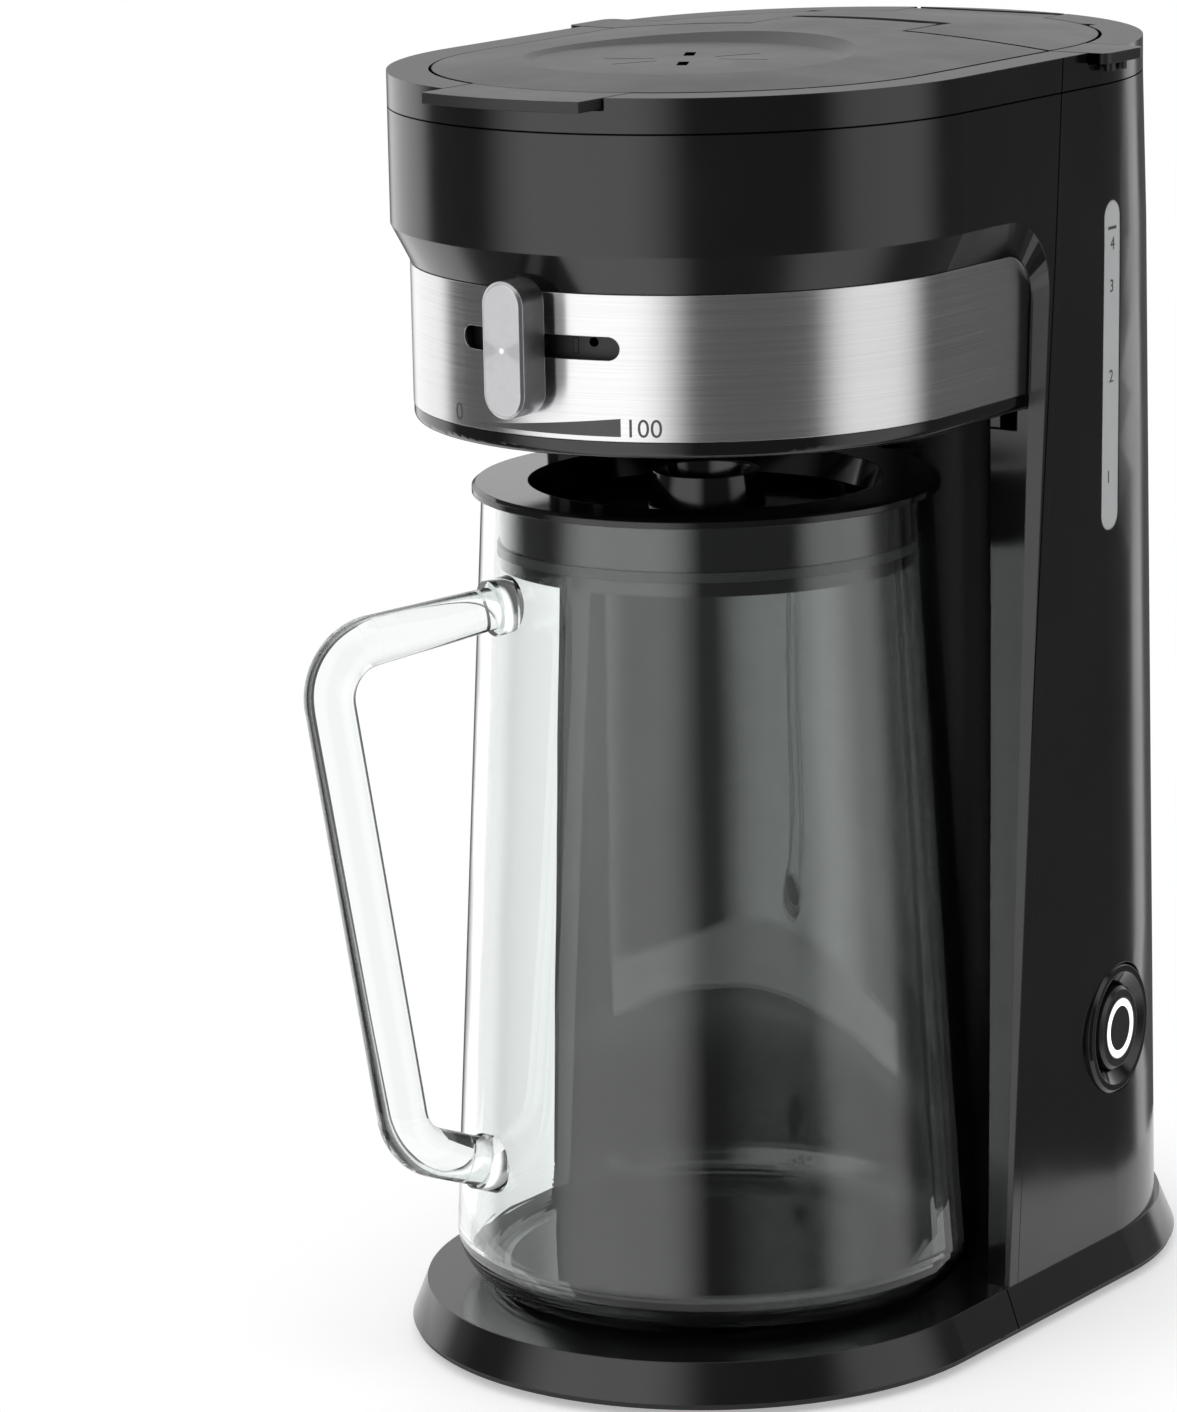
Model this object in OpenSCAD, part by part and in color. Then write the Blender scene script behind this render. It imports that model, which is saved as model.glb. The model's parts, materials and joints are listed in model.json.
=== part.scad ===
/* [Body] */
// Width of the upper body across its straight sides
body_w = 161; // [154:1:180]
// Run from the front arc's centre to the rear arc's centre at the top
body_run = 68; // [62:1:80]
// Height of the upper body between the undercut and the top frame
upper_h = 30.4; // [26:0.2:38]
// Height of the top frame's outer band
frame_h = 9; // [8.6:0.2:11]
// How far the lids crown above the rim
crown_h = 3.8; // [2.8:0.2:4.4]
// How far the rear arc moves back between the top and the base
rear_flare = 14.4; // [10:0.2:18]
// How much narrower each side is at the base than at the top
side_taper = 3.7; // [2:0.1:4.5]
// Wall of the moulded shells
wall = 2.6; // [2.2:0.1:3]
// Distance from the front arc's centre to the seam at its top
seam_y = 48.6; // [46:0.2:52]
// Lean of the seam between the front and rear housings
seam_lean = 3.3; // [2.5:0.1:4]

/* [Base] */
// Height of the rubber feet that show below the base
foot_h = 2; // [1.5:0.1:3]
// Height of the bottom cover's edge
cover_h = 1.4; // [1.2:0.1:2]
// Height of the base's sloping side
bevel_h = 10.3; // [9:0.1:13]
// How far the sloping side spreads outward
bevel_out = 4.2; // [3:0.1:5]
// Centre of the base's front arc
base_front_y = -2.6; // [-6:0.1:0]
// How far the base reaches behind the column
base_tail = 2.8; // [1.5:0.1:5]

/* [Head] */
// Free height between the base and the underside of the head
bay_h = 235.2; // [230:0.2:262]
// Radius of the lower head, which carries the steel band
drum_r = 75.5; // [73:0.1:76]
// Height of the rounded lip under the band
lip_h = 4.3; // [3.6:0.1:5]
// Height of the steel band
band_h = 37.2; // [34:0.2:42]
// Thickness of the steel band
band_t = 0.8; // [0.6:0.1:1]
// Height of the sloping undercut above the band
undercut_h = 9.9; // [8:0.1:12]
// Width of the column's front edge between its corner and the seam
strip_w = 3.6; // [3:0.1:5]
// Radius of the undercut's turn from the head into the column
turn_r = 20; // [14:1:24]

/* [Strength slider] */
// Width of the knob
knob_w = 12.4; // [10:0.2:14]
// Height of the knob
knob_h = 34.7; // [30:0.1:36]
// How far the knob stands out from the band
knob_d = 12.3; // [9:0.1:14]
// Height of the slot
slot_h = 6; // [5.6:0.1:7]
// Height of the slot's centre above the band's lower edge
slot_rise = 23.5; // [21:0.5:24.5]
// Turn of the knob from its middle towards the thin end of the wedge
slide_left = 14; // [10:1:15]
// Turn of the knob from its middle towards the thick end of the wedge
slide_right = 16; // [12:1:18]

/* [Jug] */
// Height of the glass
jug_h = 214.6; // [206:0.2:215]
// Largest radius of the glass, low down
jug_belly_r = 70.4; // [68:0.1:71.5]
// Radius of the mouth
jug_mouth_r = 59.2; // [57:0.1:61]
// Radius of the rounded foot
jug_foot_r = 14; // [10:0.5:18]
// Wall of the glass
glass_t = 3.6; // [3:0.1:4.5]
// Thickness of the glass floor
glass_floor = 5; // [4:0.5:7]
// Turn of the handle from straight ahead
handle_turn = 24; // [15:1:35]
// Radius of the handle's glass rod at the grip
rod_r = 6.6; // [5.5:0.1:7]
// Distance from the jug's axis to the handle's upper corner
handle_reach = 115.5; // [108:0.5:120]
// Height of the lid's knock-down collar around its drip hole
collar_h = 9; // [6:0.5:11]

/* [Controls] */
// Height of the power button's centre above the table
button_z = 72; // [60:1:90]
// Radius of the power button
button_r = 11.6; // [10:0.1:12.5]
// Travel of the power button
button_travel = 1.5; // [1:0.1:2]
// Radius of the button's bezel
bezel_r = 18; // [17:0.5:20]
// Width of the water window
window_w = 8.8; // [7:0.1:10]
// Height of the water window
window_h = 88; // [70:1:92]

/* [Fits] */
// Play of a lid round its edge
lid_gap = 0.5; // [0.4:0.1:0.8]
// Play between parts that slide or swing past each other
run_gap = 0.3; // [0.3:0.05:0.4]
// Radial play of a hinge pin in its barrel
pin_play = 0.06; // [0.04:0.01:0.08]
// Radius of the hinge pins
pin_r = 1.5; // [1.4:0.1:1.8]

/* [Hidden] */
$fn = 96;

// Heights, stacked from the table up
cover_z = foot_h;
bevel_z = cover_z + cover_h;
base_z = bevel_z + bevel_h;
drum_z = base_z + bay_h;
band_z = drum_z + lip_h;
undercut_z = band_z + band_h;
upper_z = undercut_z + undercut_h;
seam_z = upper_z + upper_h;
rim_z = seam_z + frame_h;
crown_z = rim_z + crown_h;

// Plan of the body
body_r = body_w / 2;
foot_r = body_r - side_taper;
rear_y = body_run;
rear_low_y = rear_y + rear_flare;
base_rear_y = rear_low_y + base_tail;
body_drop = seam_z - base_z;
body_lean = atan(rear_flare / body_drop);
taper_from = seam_z - undercut_z + 2;

// Top frame and lids
rim_w = 10.9;
lid_r = body_r - rim_w;
deck_z = rim_z - 5.7;
deck_t = 3;
lid_z = deck_z + 0.2;
lid_ceiling = rim_z - 1.4;
tab_t = 2.8;
crown_r = (lid_r * lid_r + crown_h * crown_h) / (2 * crown_h);
part_y = 61;
tongue_w = 48;
brew_hinge_y = 78;
brew_hinge_z = rim_z - 2.3;
brew_barrel_r = 5.8;
ear_w = 3.6;
ear_r = 3.6;
tank_hinge_r = 3.4;
tank_hinge_y = rear_y + body_r - 7.5;
tank_hinge_z = rim_z - tank_hinge_r;
side_tab_x = 5.5;
side_tab_y = 20;

// Head
groove_r = drum_r - band_t + 0.1;
drum_in_r = groove_r - wall;
slot_z = band_z + slot_rise;
slot_a = slide_left + 1.6;
slot_b = slide_right + 0.5;
carriage_r = drum_in_r - run_gap;
carriage_t = 1.6;
head_side = 16;

// Jug and its bay
jug_y = 1;
dock_r = 74.5;
dock_wall_r = dock_r + wall;
jug_top = base_z + jug_h;
jug_lean = (jug_belly_r - jug_mouth_r) / (jug_h - jug_foot_r);
lid_flange_z = jug_top + 0.2;
lid_flange_r = jug_mouth_r + 2.5;
lid_flange_h = 2.4;
lid_skirt_r = jug_mouth_r - glass_t - 1;
lid_dish_r = 46.5;
lid_dish_d = 7;

// Basket
basket_hole_r = 57;
basket_r = basket_hole_r - 0.5;
basket_flange_r = 60.3;
basket_low_r = 52;
basket_floor = band_z + 9;
basket_step = basket_floor + 34;

// Tank and water way
tank_gap = 1.2;
tank_wall = 1.8;
tank_floor = base_z + 136;
tank_front_r = 90;
hose_x = 44;
hose_y = 88;
hose_r = 4;
hose_bore = 2.5;
hose_turn = 12;
heater_y = 100;
heater_z = base_z + 15;
riser_y = 72;
port_y = 50;

// Button
button_y = 82.5;
button_turn = 5;
bezel_x = foot_r + 0.6;
window_y = 74.3;
window_top = upper_z - 0.5;

// Where the origin lies: under the middle of the whole length
handle_front = handle_reach * cos(handle_turn) + 4.694 - jug_y;
base_back = base_rear_y + foot_r + bevel_out;
frame_y = (handle_front - base_back) / 2;

function seam_at(z) = seam_y - (seam_z - z) * tan(seam_lean);
function strip_at(z) = seam_at(z) - strip_w;
function band_end(z) = strip_at(z) - 3.2;

// Everything is drawn about the head's front axis and then moved to the origin
module place() { translate([0, frame_y, 0]) children(); }

module stadium(r, y0, y1) {
    translate([0, y0]) circle(r);
    translate([0, y1]) circle(r);
    translate([-r, y0]) square([2 * r, y1 - y0]);
}

// A stadium whose wall slopes from one radius to another
module stadium_slope(r0, r1, h, y0, y1) {
    translate([0, y0, 0]) cylinder(r1 = r0, r2 = r1, h = h);
    translate([0, y1, 0]) cylinder(r1 = r0, r2 = r1, h = h);
    translate([0, y1, 0]) rotate([90, 0, 0]) linear_extrude(y1 - y0)
        polygon([[-r0, 0], [r0, 0], [r1, h], [-r1, h]]);
}

// A side view outline, (y, z), pushed across the width
module across(x0, x1) {
    translate([x0, 0, 0]) rotate([90, 0, 90]) linear_extrude(x1 - x0) children();
}

// A front view outline, (x, z), pushed from y0 to y1
module along(y0, y1) {
    translate([0, y1, 0]) rotate([90, 0, 0]) linear_extrude(y1 - y0) children();
}

// Front half of a turned outline, carried straight back on both sides
module wrap(y_end) {
    rotate([0, 0, 180]) rotate_extrude(angle = 180) children();
    along(0, y_end) children();
    along(0, y_end) mirror([1, 0]) children();
}

// Half of the leaning column's outline, from its axis out to its side
module column_half(inset) {
    slope = side_taper / (body_drop - taper_from);
    polygon([
        [0, 20], [body_r - inset, 20], [body_r - inset, -taper_from],
        [foot_r - inset - 20 * slope, -body_drop - 20], [0, -body_drop - 20]
    ]);
}

// The column: a leaning rear arc with flat sides running forward from it
module column(inset, y_from = 0) {
    intersection() {
        translate([0, rear_y, seam_z]) rotate([body_lean, 0, 0]) {
            rotate_extrude() column_half(inset);
            along(-rear_y - 40, 0) column_half(inset);
            along(-rear_y - 40, 0) mirror([1, 0]) column_half(inset);
        }
        translate([-100, y_from, 0]) cube([200, 260, seam_z]);
    }
}

module ahead_of_seam() {
    across(-100, 100) polygon([[-120, base_z], [seam_at(base_z), base_z], [seam_at(seam_z + 5), seam_z + 5], [-120, seam_z + 5]]);
}

module behind_seam() {
    across(-100, 100) polygon([[260, base_z], [seam_at(base_z), base_z], [seam_at(seam_z + 5), seam_z + 5], [260, seam_z + 5]]);
}

// Side outline of the recess beside the lower head, with a rounded upper corner
function recess_line(top, back, r, n = 10) = let (
    low = base_z - 5,
    zc = top - r,
    yc = strip_at(zc) - back - r / cos(seam_lean)
) concat(
    [[0, low], [strip_at(low) - back, low]],
    [for (i = [0 : n]) let (a = -seam_lean + (90 + seam_lean) * i / n) [yc + r * cos(a), zc + r * sin(a)]],
    [[0, top]]
);

// Solid between outlines of equal length that lie at the given distances x
module loft(xs, lines) {
    n = len(lines[0]);
    m = len(lines);
    polyhedron(
        points = [for (k = [0 : m - 1], q = lines[k]) [xs[k], q[0], q[1]]],
        faces = concat(
            [[for (i = [0 : n - 1]) i]],
            [[for (i = [0 : n - 1]) m * n - 1 - i]],
            [for (k = [0 : m - 2], i = [0 : n - 1]) let (j = (i + 1) % n) [k * n + i, (k + 1) * n + j, k * n + j]],
            [for (k = [0 : m - 2], i = [0 : n - 1]) let (j = (i + 1) % n) [k * n + i, (k + 1) * n + i, (k + 1) * n + j]]
        )
    );
}

module recess_side() {
    inner = recess_line(undercut_z, 1, turn_r - 8);
    outer = recess_line(upper_z, 0, turn_r);
    past = 1 + 2 / (body_r - drum_r);
    loft([drum_r, body_r + 2], [inner, [for (i = [0 : len(inner) - 1]) inner[i] + past * (outer[i] - inner[i])]]);
}

// Opening for the knob's stem, straight through the drum's front wall
module slot_cut(play) {
    r = slot_h / 2 + play;
    x0 = -drum_r * sin(slot_a);
    x1 = drum_r * sin(slot_b);
    along(-90, -60) {
        for (x = [x0, x1]) translate([x, slot_z]) circle(r);
        translate([x0, slot_z - r]) square([x1 - x0, 2 * r]);
    }
}

module jug_outline(inset, floor_z) {
    r0 = jug_belly_r - inset;
    r1 = jug_mouth_r - inset;
    rf = base_z + jug_foot_r - floor_z;
    polygon(concat([[0, floor_z]], [for (i = [0 : 12]) [r0 - rf + rf * sin(7.5 * i), floor_z + rf - rf * cos(7.5 * i)]],
        [[r1, jug_top], [0, jug_top]]));
}

// Pouring lip: a tilted tube that grows out of the glass below the mouth
module pour_lip(r, z_top) {
    rotate([0, 0, 90 - handle_turn]) intersection() {
        translate([jug_mouth_r - 13.6, 0, jug_top - 44]) rotate([0, 12, 0]) cylinder(r = r, h = 70);
        translate([25, -30, jug_top - 60]) cube([60, 60, z_top - jug_top + 60]);
    }
}

// Round rod or hose through (reach, height) points, with a bend at each inner point.
// The straight legs run a little way into the bends and are a hair thinner.
module rod(path, bend, r) {
    for (i = [0 : len(path) - 2]) rod_leg(path, i, bend, r, r);
    for (i = [1 : len(path) - 2]) rod_bend(path, i, bend, r);
}

module rod_leg(path, i, bend, r0, r1) {
    d = path[i + 1] - path[i];
    s = i == 0 ? 0 : bend * tan(abs(turn_at(path, i)) / 2) - 0.4;
    e = i == len(path) - 2 ? 0 : bend * tan(abs(turn_at(path, i + 1)) / 2) - 0.4;
    translate([path[i][0], 0, path[i][1]]) rotate([0, 90 - atan2(d[1], d[0]), 0])
        translate([0, 0, s]) cylinder(r1 = r0 - 0.03, r2 = r1 - 0.03, h = norm(d) - s - e);
}

module rod_bend(path, i, bend, r) {
    t = turn_at(path, i);
    d = path[i] - path[i - 1];
    h = atan2(d[1], d[0]);
    side = t > 0 ? 1 : -1;
    start = path[i] - bend * tan(abs(t) / 2) * d / norm(d);
    c = start + side * bend * [-sin(h), cos(h)];
    translate([c[0], 0, c[1]]) rotate([90, 0, 0])
        rotate([0, 0, side > 0 ? h - 90 : h + 90 + t]) rotate_extrude(angle = abs(t))
            translate([bend, 0]) circle(r);
}

function heading(p, q) = atan2(q[1] - p[1], q[0] - p[0]);
function wrap180(a) = a > 180 ? a - 360 : a < -180 ? a + 360 : a;
function turn_at(path, i) = wrap180(heading(path[i], path[i + 1]) - heading(path[i - 1], path[i]));

module base_housing() {
    color("#1b1b1c") place() difference() {
        union() {
            translate([0, 0, bevel_z])
                stadium_slope(foot_r + bevel_out, foot_r, bevel_h, base_front_y, base_rear_y);
        }
        translate([0, 0, bevel_z - 1])
            stadium_slope(foot_r + bevel_out - wall + 0.4, foot_r - wall - 0.6, bevel_h - wall + 1, base_front_y, base_rear_y);
        // Passage for the water way and wiring up into the column
        translate([0, heater_y + 2, base_z - wall - 1]) cylinder(r = 18, h = wall + 2);
        for (s = [-1, 1]) translate([s * 22, heater_y + 25, base_z - wall - 1]) cylinder(r = 1.6, h = wall + 2);
    }
    color("#1b1b1c") place() for (p = boss_places()) translate([p[0], p[1], cover_z + 3])
        difference() {
            cylinder(r = 4, h = base_z - wall - cover_z - 3);
            translate([0, 0, -1]) cylinder(r = 1.3, h = 7);
        }
}
function boss_places() = [[-52, -38], [52, -38], [-60, 120], [60, 120]];

module base_bottom_cover() {
    color("#232324") place() difference() {
        union() {
            translate([0, 0, cover_z]) linear_extrude(cover_h)
                stadium(foot_r + bevel_out - 0.7, base_front_y, base_rear_y);
            translate([0, 0, cover_z + cover_h]) linear_extrude(1.6)
                stadium(foot_r + bevel_out - wall - 1.7, base_front_y, base_rear_y);
        }
        translate([0, 0, cover_z + cover_h]) linear_extrude(3)
            stadium(foot_r + bevel_out - wall - 3.4, base_front_y, base_rear_y);
        for (p = foot_places()) translate([p[0], p[1], cover_z - 1]) cylinder(r = 8.2, h = 1.6);
        for (p = boss_places()) translate([p[0], p[1], cover_z - 1]) {
            cylinder(r = 3.1, h = 1.4);
            translate([0, 0, 1.39]) cylinder(r1 = 3.1, r2 = 1.45, h = 1.6);
        }
        // Louvres under the heater
        for (i = [0 : 6]) translate([-21, 96 + 6 * i, cover_z - 1]) cube([42, 2.4, 4]);
    }
}
function foot_places() = [[-40, -52], [40, -52], [-40, 132], [40, 132]];

module rubber_feet() {
    color("#101010") place() for (p = foot_places()) translate([p[0], p[1], 0]) {
        cylinder(r1 = 7.2, r2 = 8, h = 0.8);
        translate([0, 0, 0.8]) cylinder(r = 8, h = foot_h + 0.6 - 0.8);
    }
}

module base_screws() {
    color("silver") place() for (p = boss_places()) translate([p[0], p[1], cover_z + 0.4])
        difference() {
            union() {
                cylinder(r1 = 2.9, r2 = 1.25, h = 1.6);
                cylinder(r = 1.25, h = 8);
            }
            translate([0, 0, -0.1]) cylinder(r = 0.9, h = 0.7, $fn = 6);
        }
}

module front_housing() {
    color("#1a1a1b") place() {
        difference() {
            // Wall of the head round the front, with the seat of the steel band
            wrap(head_side) polygon([
                [drum_in_r, band_z], [groove_r, band_z], [groove_r, undercut_z], [drum_r, undercut_z],
                [body_r, upper_z], [body_r, seam_z], [body_r - wall, seam_z], [body_r - wall, upper_z],
                [drum_in_r, upper_z]
            ]);
            slot_cut(0.6);
        }
        // Sides of the head, and the wings that run down beside the jug
        difference() {
            intersection() {
                column(0.04, head_side);
                ahead_of_seam();
            }
            recess_side();
            mirror([1, 0, 0]) recess_side();
            across(-100, 100) polygon([[-9, base_z - 5], [strip_at(base_z - 5) - 1, base_z - 5],
                [strip_at(band_z) - 1, band_z], [-9, band_z]]);
            along(-9, 90) translate([-drum_in_r, band_z - 10]) square([2 * drum_in_r, upper_z - band_z + 10]);
            along(-9, 90) translate([-body_r + wall, upper_z]) square([body_w - 2 * wall, upper_h + 9]);
            translate([0, jug_y, base_z - 5]) cylinder(r = dock_r, h = band_z - base_z + 5);
            intersection() {
                along(-9, 60) {
                    translate([groove_r, band_z]) square([9, band_h]);
                    translate([-groove_r - 9, band_z]) square([9, band_h]);
                }
                band_outline(0.3);
            }
        }
        // Wall that the jug backs up to
        intersection() {
            translate([0, jug_y, base_z]) difference() {
                cylinder(r = dock_wall_r, h = band_z - base_z);
                translate([0, 0, -1]) cylinder(r = dock_r, h = band_z - base_z + 2);
            }
            across(-100, 100) polygon([[strip_at(base_z) + 1, base_z], [strip_at(band_z) + 1, band_z], [100, band_z], [100, base_z]]);
        }
    }
}

module rear_housing() {
    color("#1a1a1b") place() difference() {
        intersection() {
            column(0);
            behind_seam();
        }
        intersection() {
            column(wall);
            translate([-100, 0, base_z - 5]) cube([200, 200, body_drop + 10]);
        }
        translate([0, rear_y, seam_z - 20]) cylinder(r = body_r - wall, h = 21);
        window_slot(0.15);
        from_side(-30) cylinder(r = bezel_r + 0.15, h = 60);
        translate([0, 130, base_z + 18]) rotate([-90, 0, 0]) cylinder(r = 6, h = 60);
    }
}

// Side outline of the space that the steel band fills
module band_outline(play) {
    z0 = band_z + 0.2 - play;
    z1 = band_z + band_h - 0.2 + play;
    r = 10 + play;
    across(-100, 100) {
        polygon([[-100, z0], [band_end(z0) + play, z0], [band_end(z1 - r) + play, z1 - r], [-100, z1 - r]]);
        polygon([[-100, z1 - r - 1], [band_end(z1) + play - r, z1 - r - 1], [band_end(z1) + play - r, z1], [-100, z1]]);
        translate([band_end(z1) + play - r, z1 - r]) circle(r);
    }
}

module steel_band() {
    color("#c9cacc") place() difference() {
        intersection() {
            wrap(60) translate([groove_r + 0.05, band_z]) square([band_t, band_h]);
            band_outline(0);
        }
        slot_cut(0);
    }
}

module head_underside() {
    lip_r = 2.1;
    color("#111112") place() difference() {
        union() {
            wrap(strip_at(drum_z) - 1.4) {
                translate([0, drum_z]) square([drum_r - lip_r, lip_h]);
                translate([0, drum_z + lip_r]) square([drum_r, lip_h - lip_r]);
                translate([drum_r - lip_r, drum_z + lip_r]) circle(lip_r);
            }
            translate([0, jug_y, drum_z]) cylinder(r = dock_r - 0.2, h = lip_h);
        }
        translate([0, 0, drum_z - 1]) cylinder(r = 12, h = lip_h + 2);
        // Dished middle with a stiffening ring round the nozzle
        translate([0, 0, drum_z - 1]) difference() {
            cylinder(r1 = 62, r2 = 60, h = 2.6);
            translate([0, 0, -1]) cylinder(r = 16, h = 5);
        }
    }
}

module slider_knob() {
    r = knob_w / 2;
    half = knob_h / 2 - r;
    bevel = 0.8;
    back = drum_r + 2.6;
    front = drum_r + knob_d;
    neck = drum_r + run_gap + 0.1;
    color("#b9babd") place() {
        for (s = [-1, 1]) translate([0, -back, slot_z + s * half]) rotate([90, 0, 0]) {
            cylinder(r = r, h = front - back - bevel);
            translate([0, 0, front - back - bevel]) cylinder(r1 = r, r2 = r - bevel, h = bevel);
        }
        translate([-r, bevel - front, slot_z - half]) cube([knob_w, front - back - bevel, 2 * half]);
        translate([0, 0, slot_z - half]) linear_extrude(2 * half)
            polygon([[-r, bevel - front], [r, bevel - front], [r - bevel, -front], [bevel - r, -front]]);
        // Neck over the band and the stem through the slot
        translate([0, 0.5 - back, slot_z]) rotate([-90, 0, 0]) translate([0, 0, -1]) cylinder(r = 4.6, h = back - neck + 0.5);
        translate([0, -carriage_r + 0.4, slot_z]) rotate([90, 0, 0]) cylinder(r = 2.5, h = back - carriage_r + 0.4);
    }
}

module slider_carriage() {
    span = 34;
    color("#18181a") place() difference() {
        union() {
            rotate([0, 0, -90 - span]) rotate_extrude(angle = 2 * span)
                translate([carriage_r - carriage_t, slot_z - 7]) square([carriage_t, 14]);
            // Rib that shows through the slot
            rotate([0, 0, 8.7]) translate([-0.7, -carriage_r - 0.2, slot_z - 2]) cube([1.4, 2, 4]);
            // Finger that turns the shutter
            translate([-3, -carriage_r + 0.8, slot_z - 4]) cube([6, carriage_r - 0.8 - shutter_r - 0.1, 8]);
        }
        translate([0, -carriage_r + 0.4, slot_z]) rotate([90, 0, 0]) cylinder(r = 2.5, h = 5);
        rotate([0, 0, 12.6]) translate([0, -carriage_r + 3, slot_z + 1]) rotate([90, 0, 0]) cylinder(r = 1.2, h = 6);
    }
}
shutter_r = basket_low_r + 2.4;

module flow_shutter() {
    z0 = basket_floor + 3.7;
    color("#2a2a2d") place() difference() {
        union() {
            translate([0, 0, z0]) cylinder(r = shutter_r, h = slot_z + 6 - z0);
            for (s = [-1, 1]) translate([s * 4.2 - 1, -shutter_r - 2.2, slot_z - 4]) cube([2, 3.2, 8]);
        }
        translate([0, 0, z0 - 1]) cylinder(r = basket_low_r + run_gap, h = 60);
        // Bypass window
        rotate([0, 0, 20]) translate([-9, -shutter_r - 5, basket_floor + 6]) cube([18, 12, 8]);
    }
}

module brew_basket() {
    z_top = deck_z;
    t = 1.8;
    color("#1c1c1e") place() difference() {
        union() {
            translate([0, 0, z_top - 1.5]) cylinder(r = basket_flange_r, h = 1.5);
            translate([0, 0, basket_step]) cylinder(r1 = basket_low_r, r2 = basket_r, h = z_top - 1.5 - basket_step);
            translate([0, 0, basket_floor]) cylinder(r = basket_low_r, h = basket_step - basket_floor);
            translate([0, 0, basket_floor]) cylinder(r = basket_low_r + 3.5, h = 3.4);
        }
        translate([0, 0, basket_step]) cylinder(r1 = basket_low_r - t, r2 = basket_r - t, h = z_top - 1.5 - basket_step);
        translate([0, 0, z_top - 1.51]) cylinder(r = basket_r - t, h = 3);
        translate([0, 0, basket_floor + 2]) cylinder(r = basket_low_r - t, h = basket_step - basket_floor);
        translate([0, 0, basket_floor - 1]) cylinder(r = 7, h = 5);
        translate([-9, -basket_low_r - 5, basket_floor + 6]) cube([18, 12, 8]);
    }
}

module mesh_filter() {
    z0 = basket_floor + 2;
    z1 = deck_z - 4;
    color("#a8a9ac") place() difference() {
        union() {
            translate([0, 0, z0]) cylinder(r1 = basket_low_r - 10, r2 = basket_r - 5, h = z1 - z0);
            translate([0, 0, z1]) cylinder(r = basket_r - 2.4, h = 2);
            translate([0, 0, z0]) cylinder(r = basket_low_r - 9, h = 1.2);
        }
        translate([0, 0, z0 + 0.8]) cylinder(r1 = basket_low_r - 10.6, r2 = basket_r - 5.6, h = z1 - z0 - 0.79);
        translate([0, 0, z1 - 0.01]) cylinder(r = basket_r - 5.6, h = 3);
    }
}

module drip_nozzle() {
    color("#2a2a2d") place() difference() {
        union() {
            translate([0, 0, basket_floor - 3]) cylinder(r = 10, h = 3);
            translate([0, 0, basket_floor]) cylinder(r = 7, h = 2);
            translate([0, 0, drum_z - 1.5]) cylinder(r1 = 5.5, r2 = 8, h = basket_floor - drum_z - 1.5);
        }
        translate([0, 0, drum_z - 3]) cylinder(r = 3.5, h = 40);
    }
}

// Domed top shared by both lids: half of its front view
module crown_half() {
    intersection() {
        translate([0, crown_z - crown_r]) circle(crown_r, $fn = 1440);
        translate([0, lid_z]) square([lid_r - lid_gap, 20]);
    }
}

module brew_lid() {
    r = lid_r - lid_gap;
    y_end = part_y - 0.6;
    color("#2b2b2c") place() difference() {
        union() {
            wrap(y_end) crown_half();
            // Finger tab over the front rim
            translate([0, 0, rim_z - tab_t]) linear_extrude(tab_t) difference() {
                intersection() {
                    circle(body_r + 9);
                    translate([-24, -100]) square([48, 60]);
                }
                circle(r - 2);
            }
        }
        // Hollow underside
        translate([0, 0, lid_z - 1]) cylinder(r = r - 4, h = lid_ceiling - lid_z + 1);
        translate([-r + 4, 0, lid_z - 1]) cube([2 * r - 8, y_end - 4, lid_ceiling - lid_z + 1]);
        translate([-tongue_w / 2 - 1, y_end - 5, lid_z - 5]) cube([tongue_w + 2, 6, lid_ceiling - lid_z + 5]);
        // Shallow round dish with a sloping edge
        translate([0, -5, crown_z - 2.4]) cylinder(r1 = 40, r2 = 49, h = 3);
        // Two steam slots and four grooves, set out like rays
        translate([0, -5, 0]) {
            for (a = [120, 300]) rotate([0, 0, a]) translate([7, -1.4, lid_z]) cube([8.5, 2.8, 20]);
            for (a = [20, 61, 204, 242]) rotate([0, 0, a]) translate([8.5, -0.35, crown_z - 2.9]) cube([13, 0.7, 3]);
        }
    }
}

// Hinge arm of the front lid, flush with its top
module brew_lid_arm() {
    y_end = part_y - 0.6;
    color("#2b2b2c") place() difference() {
        union() {
            intersection() {
                along(y_end, brew_hinge_y) { crown_half(); mirror([1, 0]) crown_half(); }
                translate([-tongue_w / 2, 0, 0]) cube([tongue_w, 200, 400]);
            }
            translate([-tongue_w / 2, brew_hinge_y, brew_hinge_z]) rotate([0, 90, 0])
                cylinder(r = brew_barrel_r, h = tongue_w);
        }
        translate([-tongue_w / 2 - 1, y_end - 5, lid_z - 5]) cube([tongue_w + 2, brew_hinge_y - y_end - 1.4, lid_ceiling - lid_z + 5]);
        translate([-60, brew_hinge_y, brew_hinge_z]) rotate([0, 90, 0]) cylinder(r = pin_r + pin_play, h = 120);
    }
}

module brew_lid_pin() {
    half = tongue_w / 2 + 0.6 + ear_w;
    color("silver") place() translate([-half, brew_hinge_y, brew_hinge_z]) rotate([0, 90, 0]) cylinder(r = pin_r, h = 2 * half);
}

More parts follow.
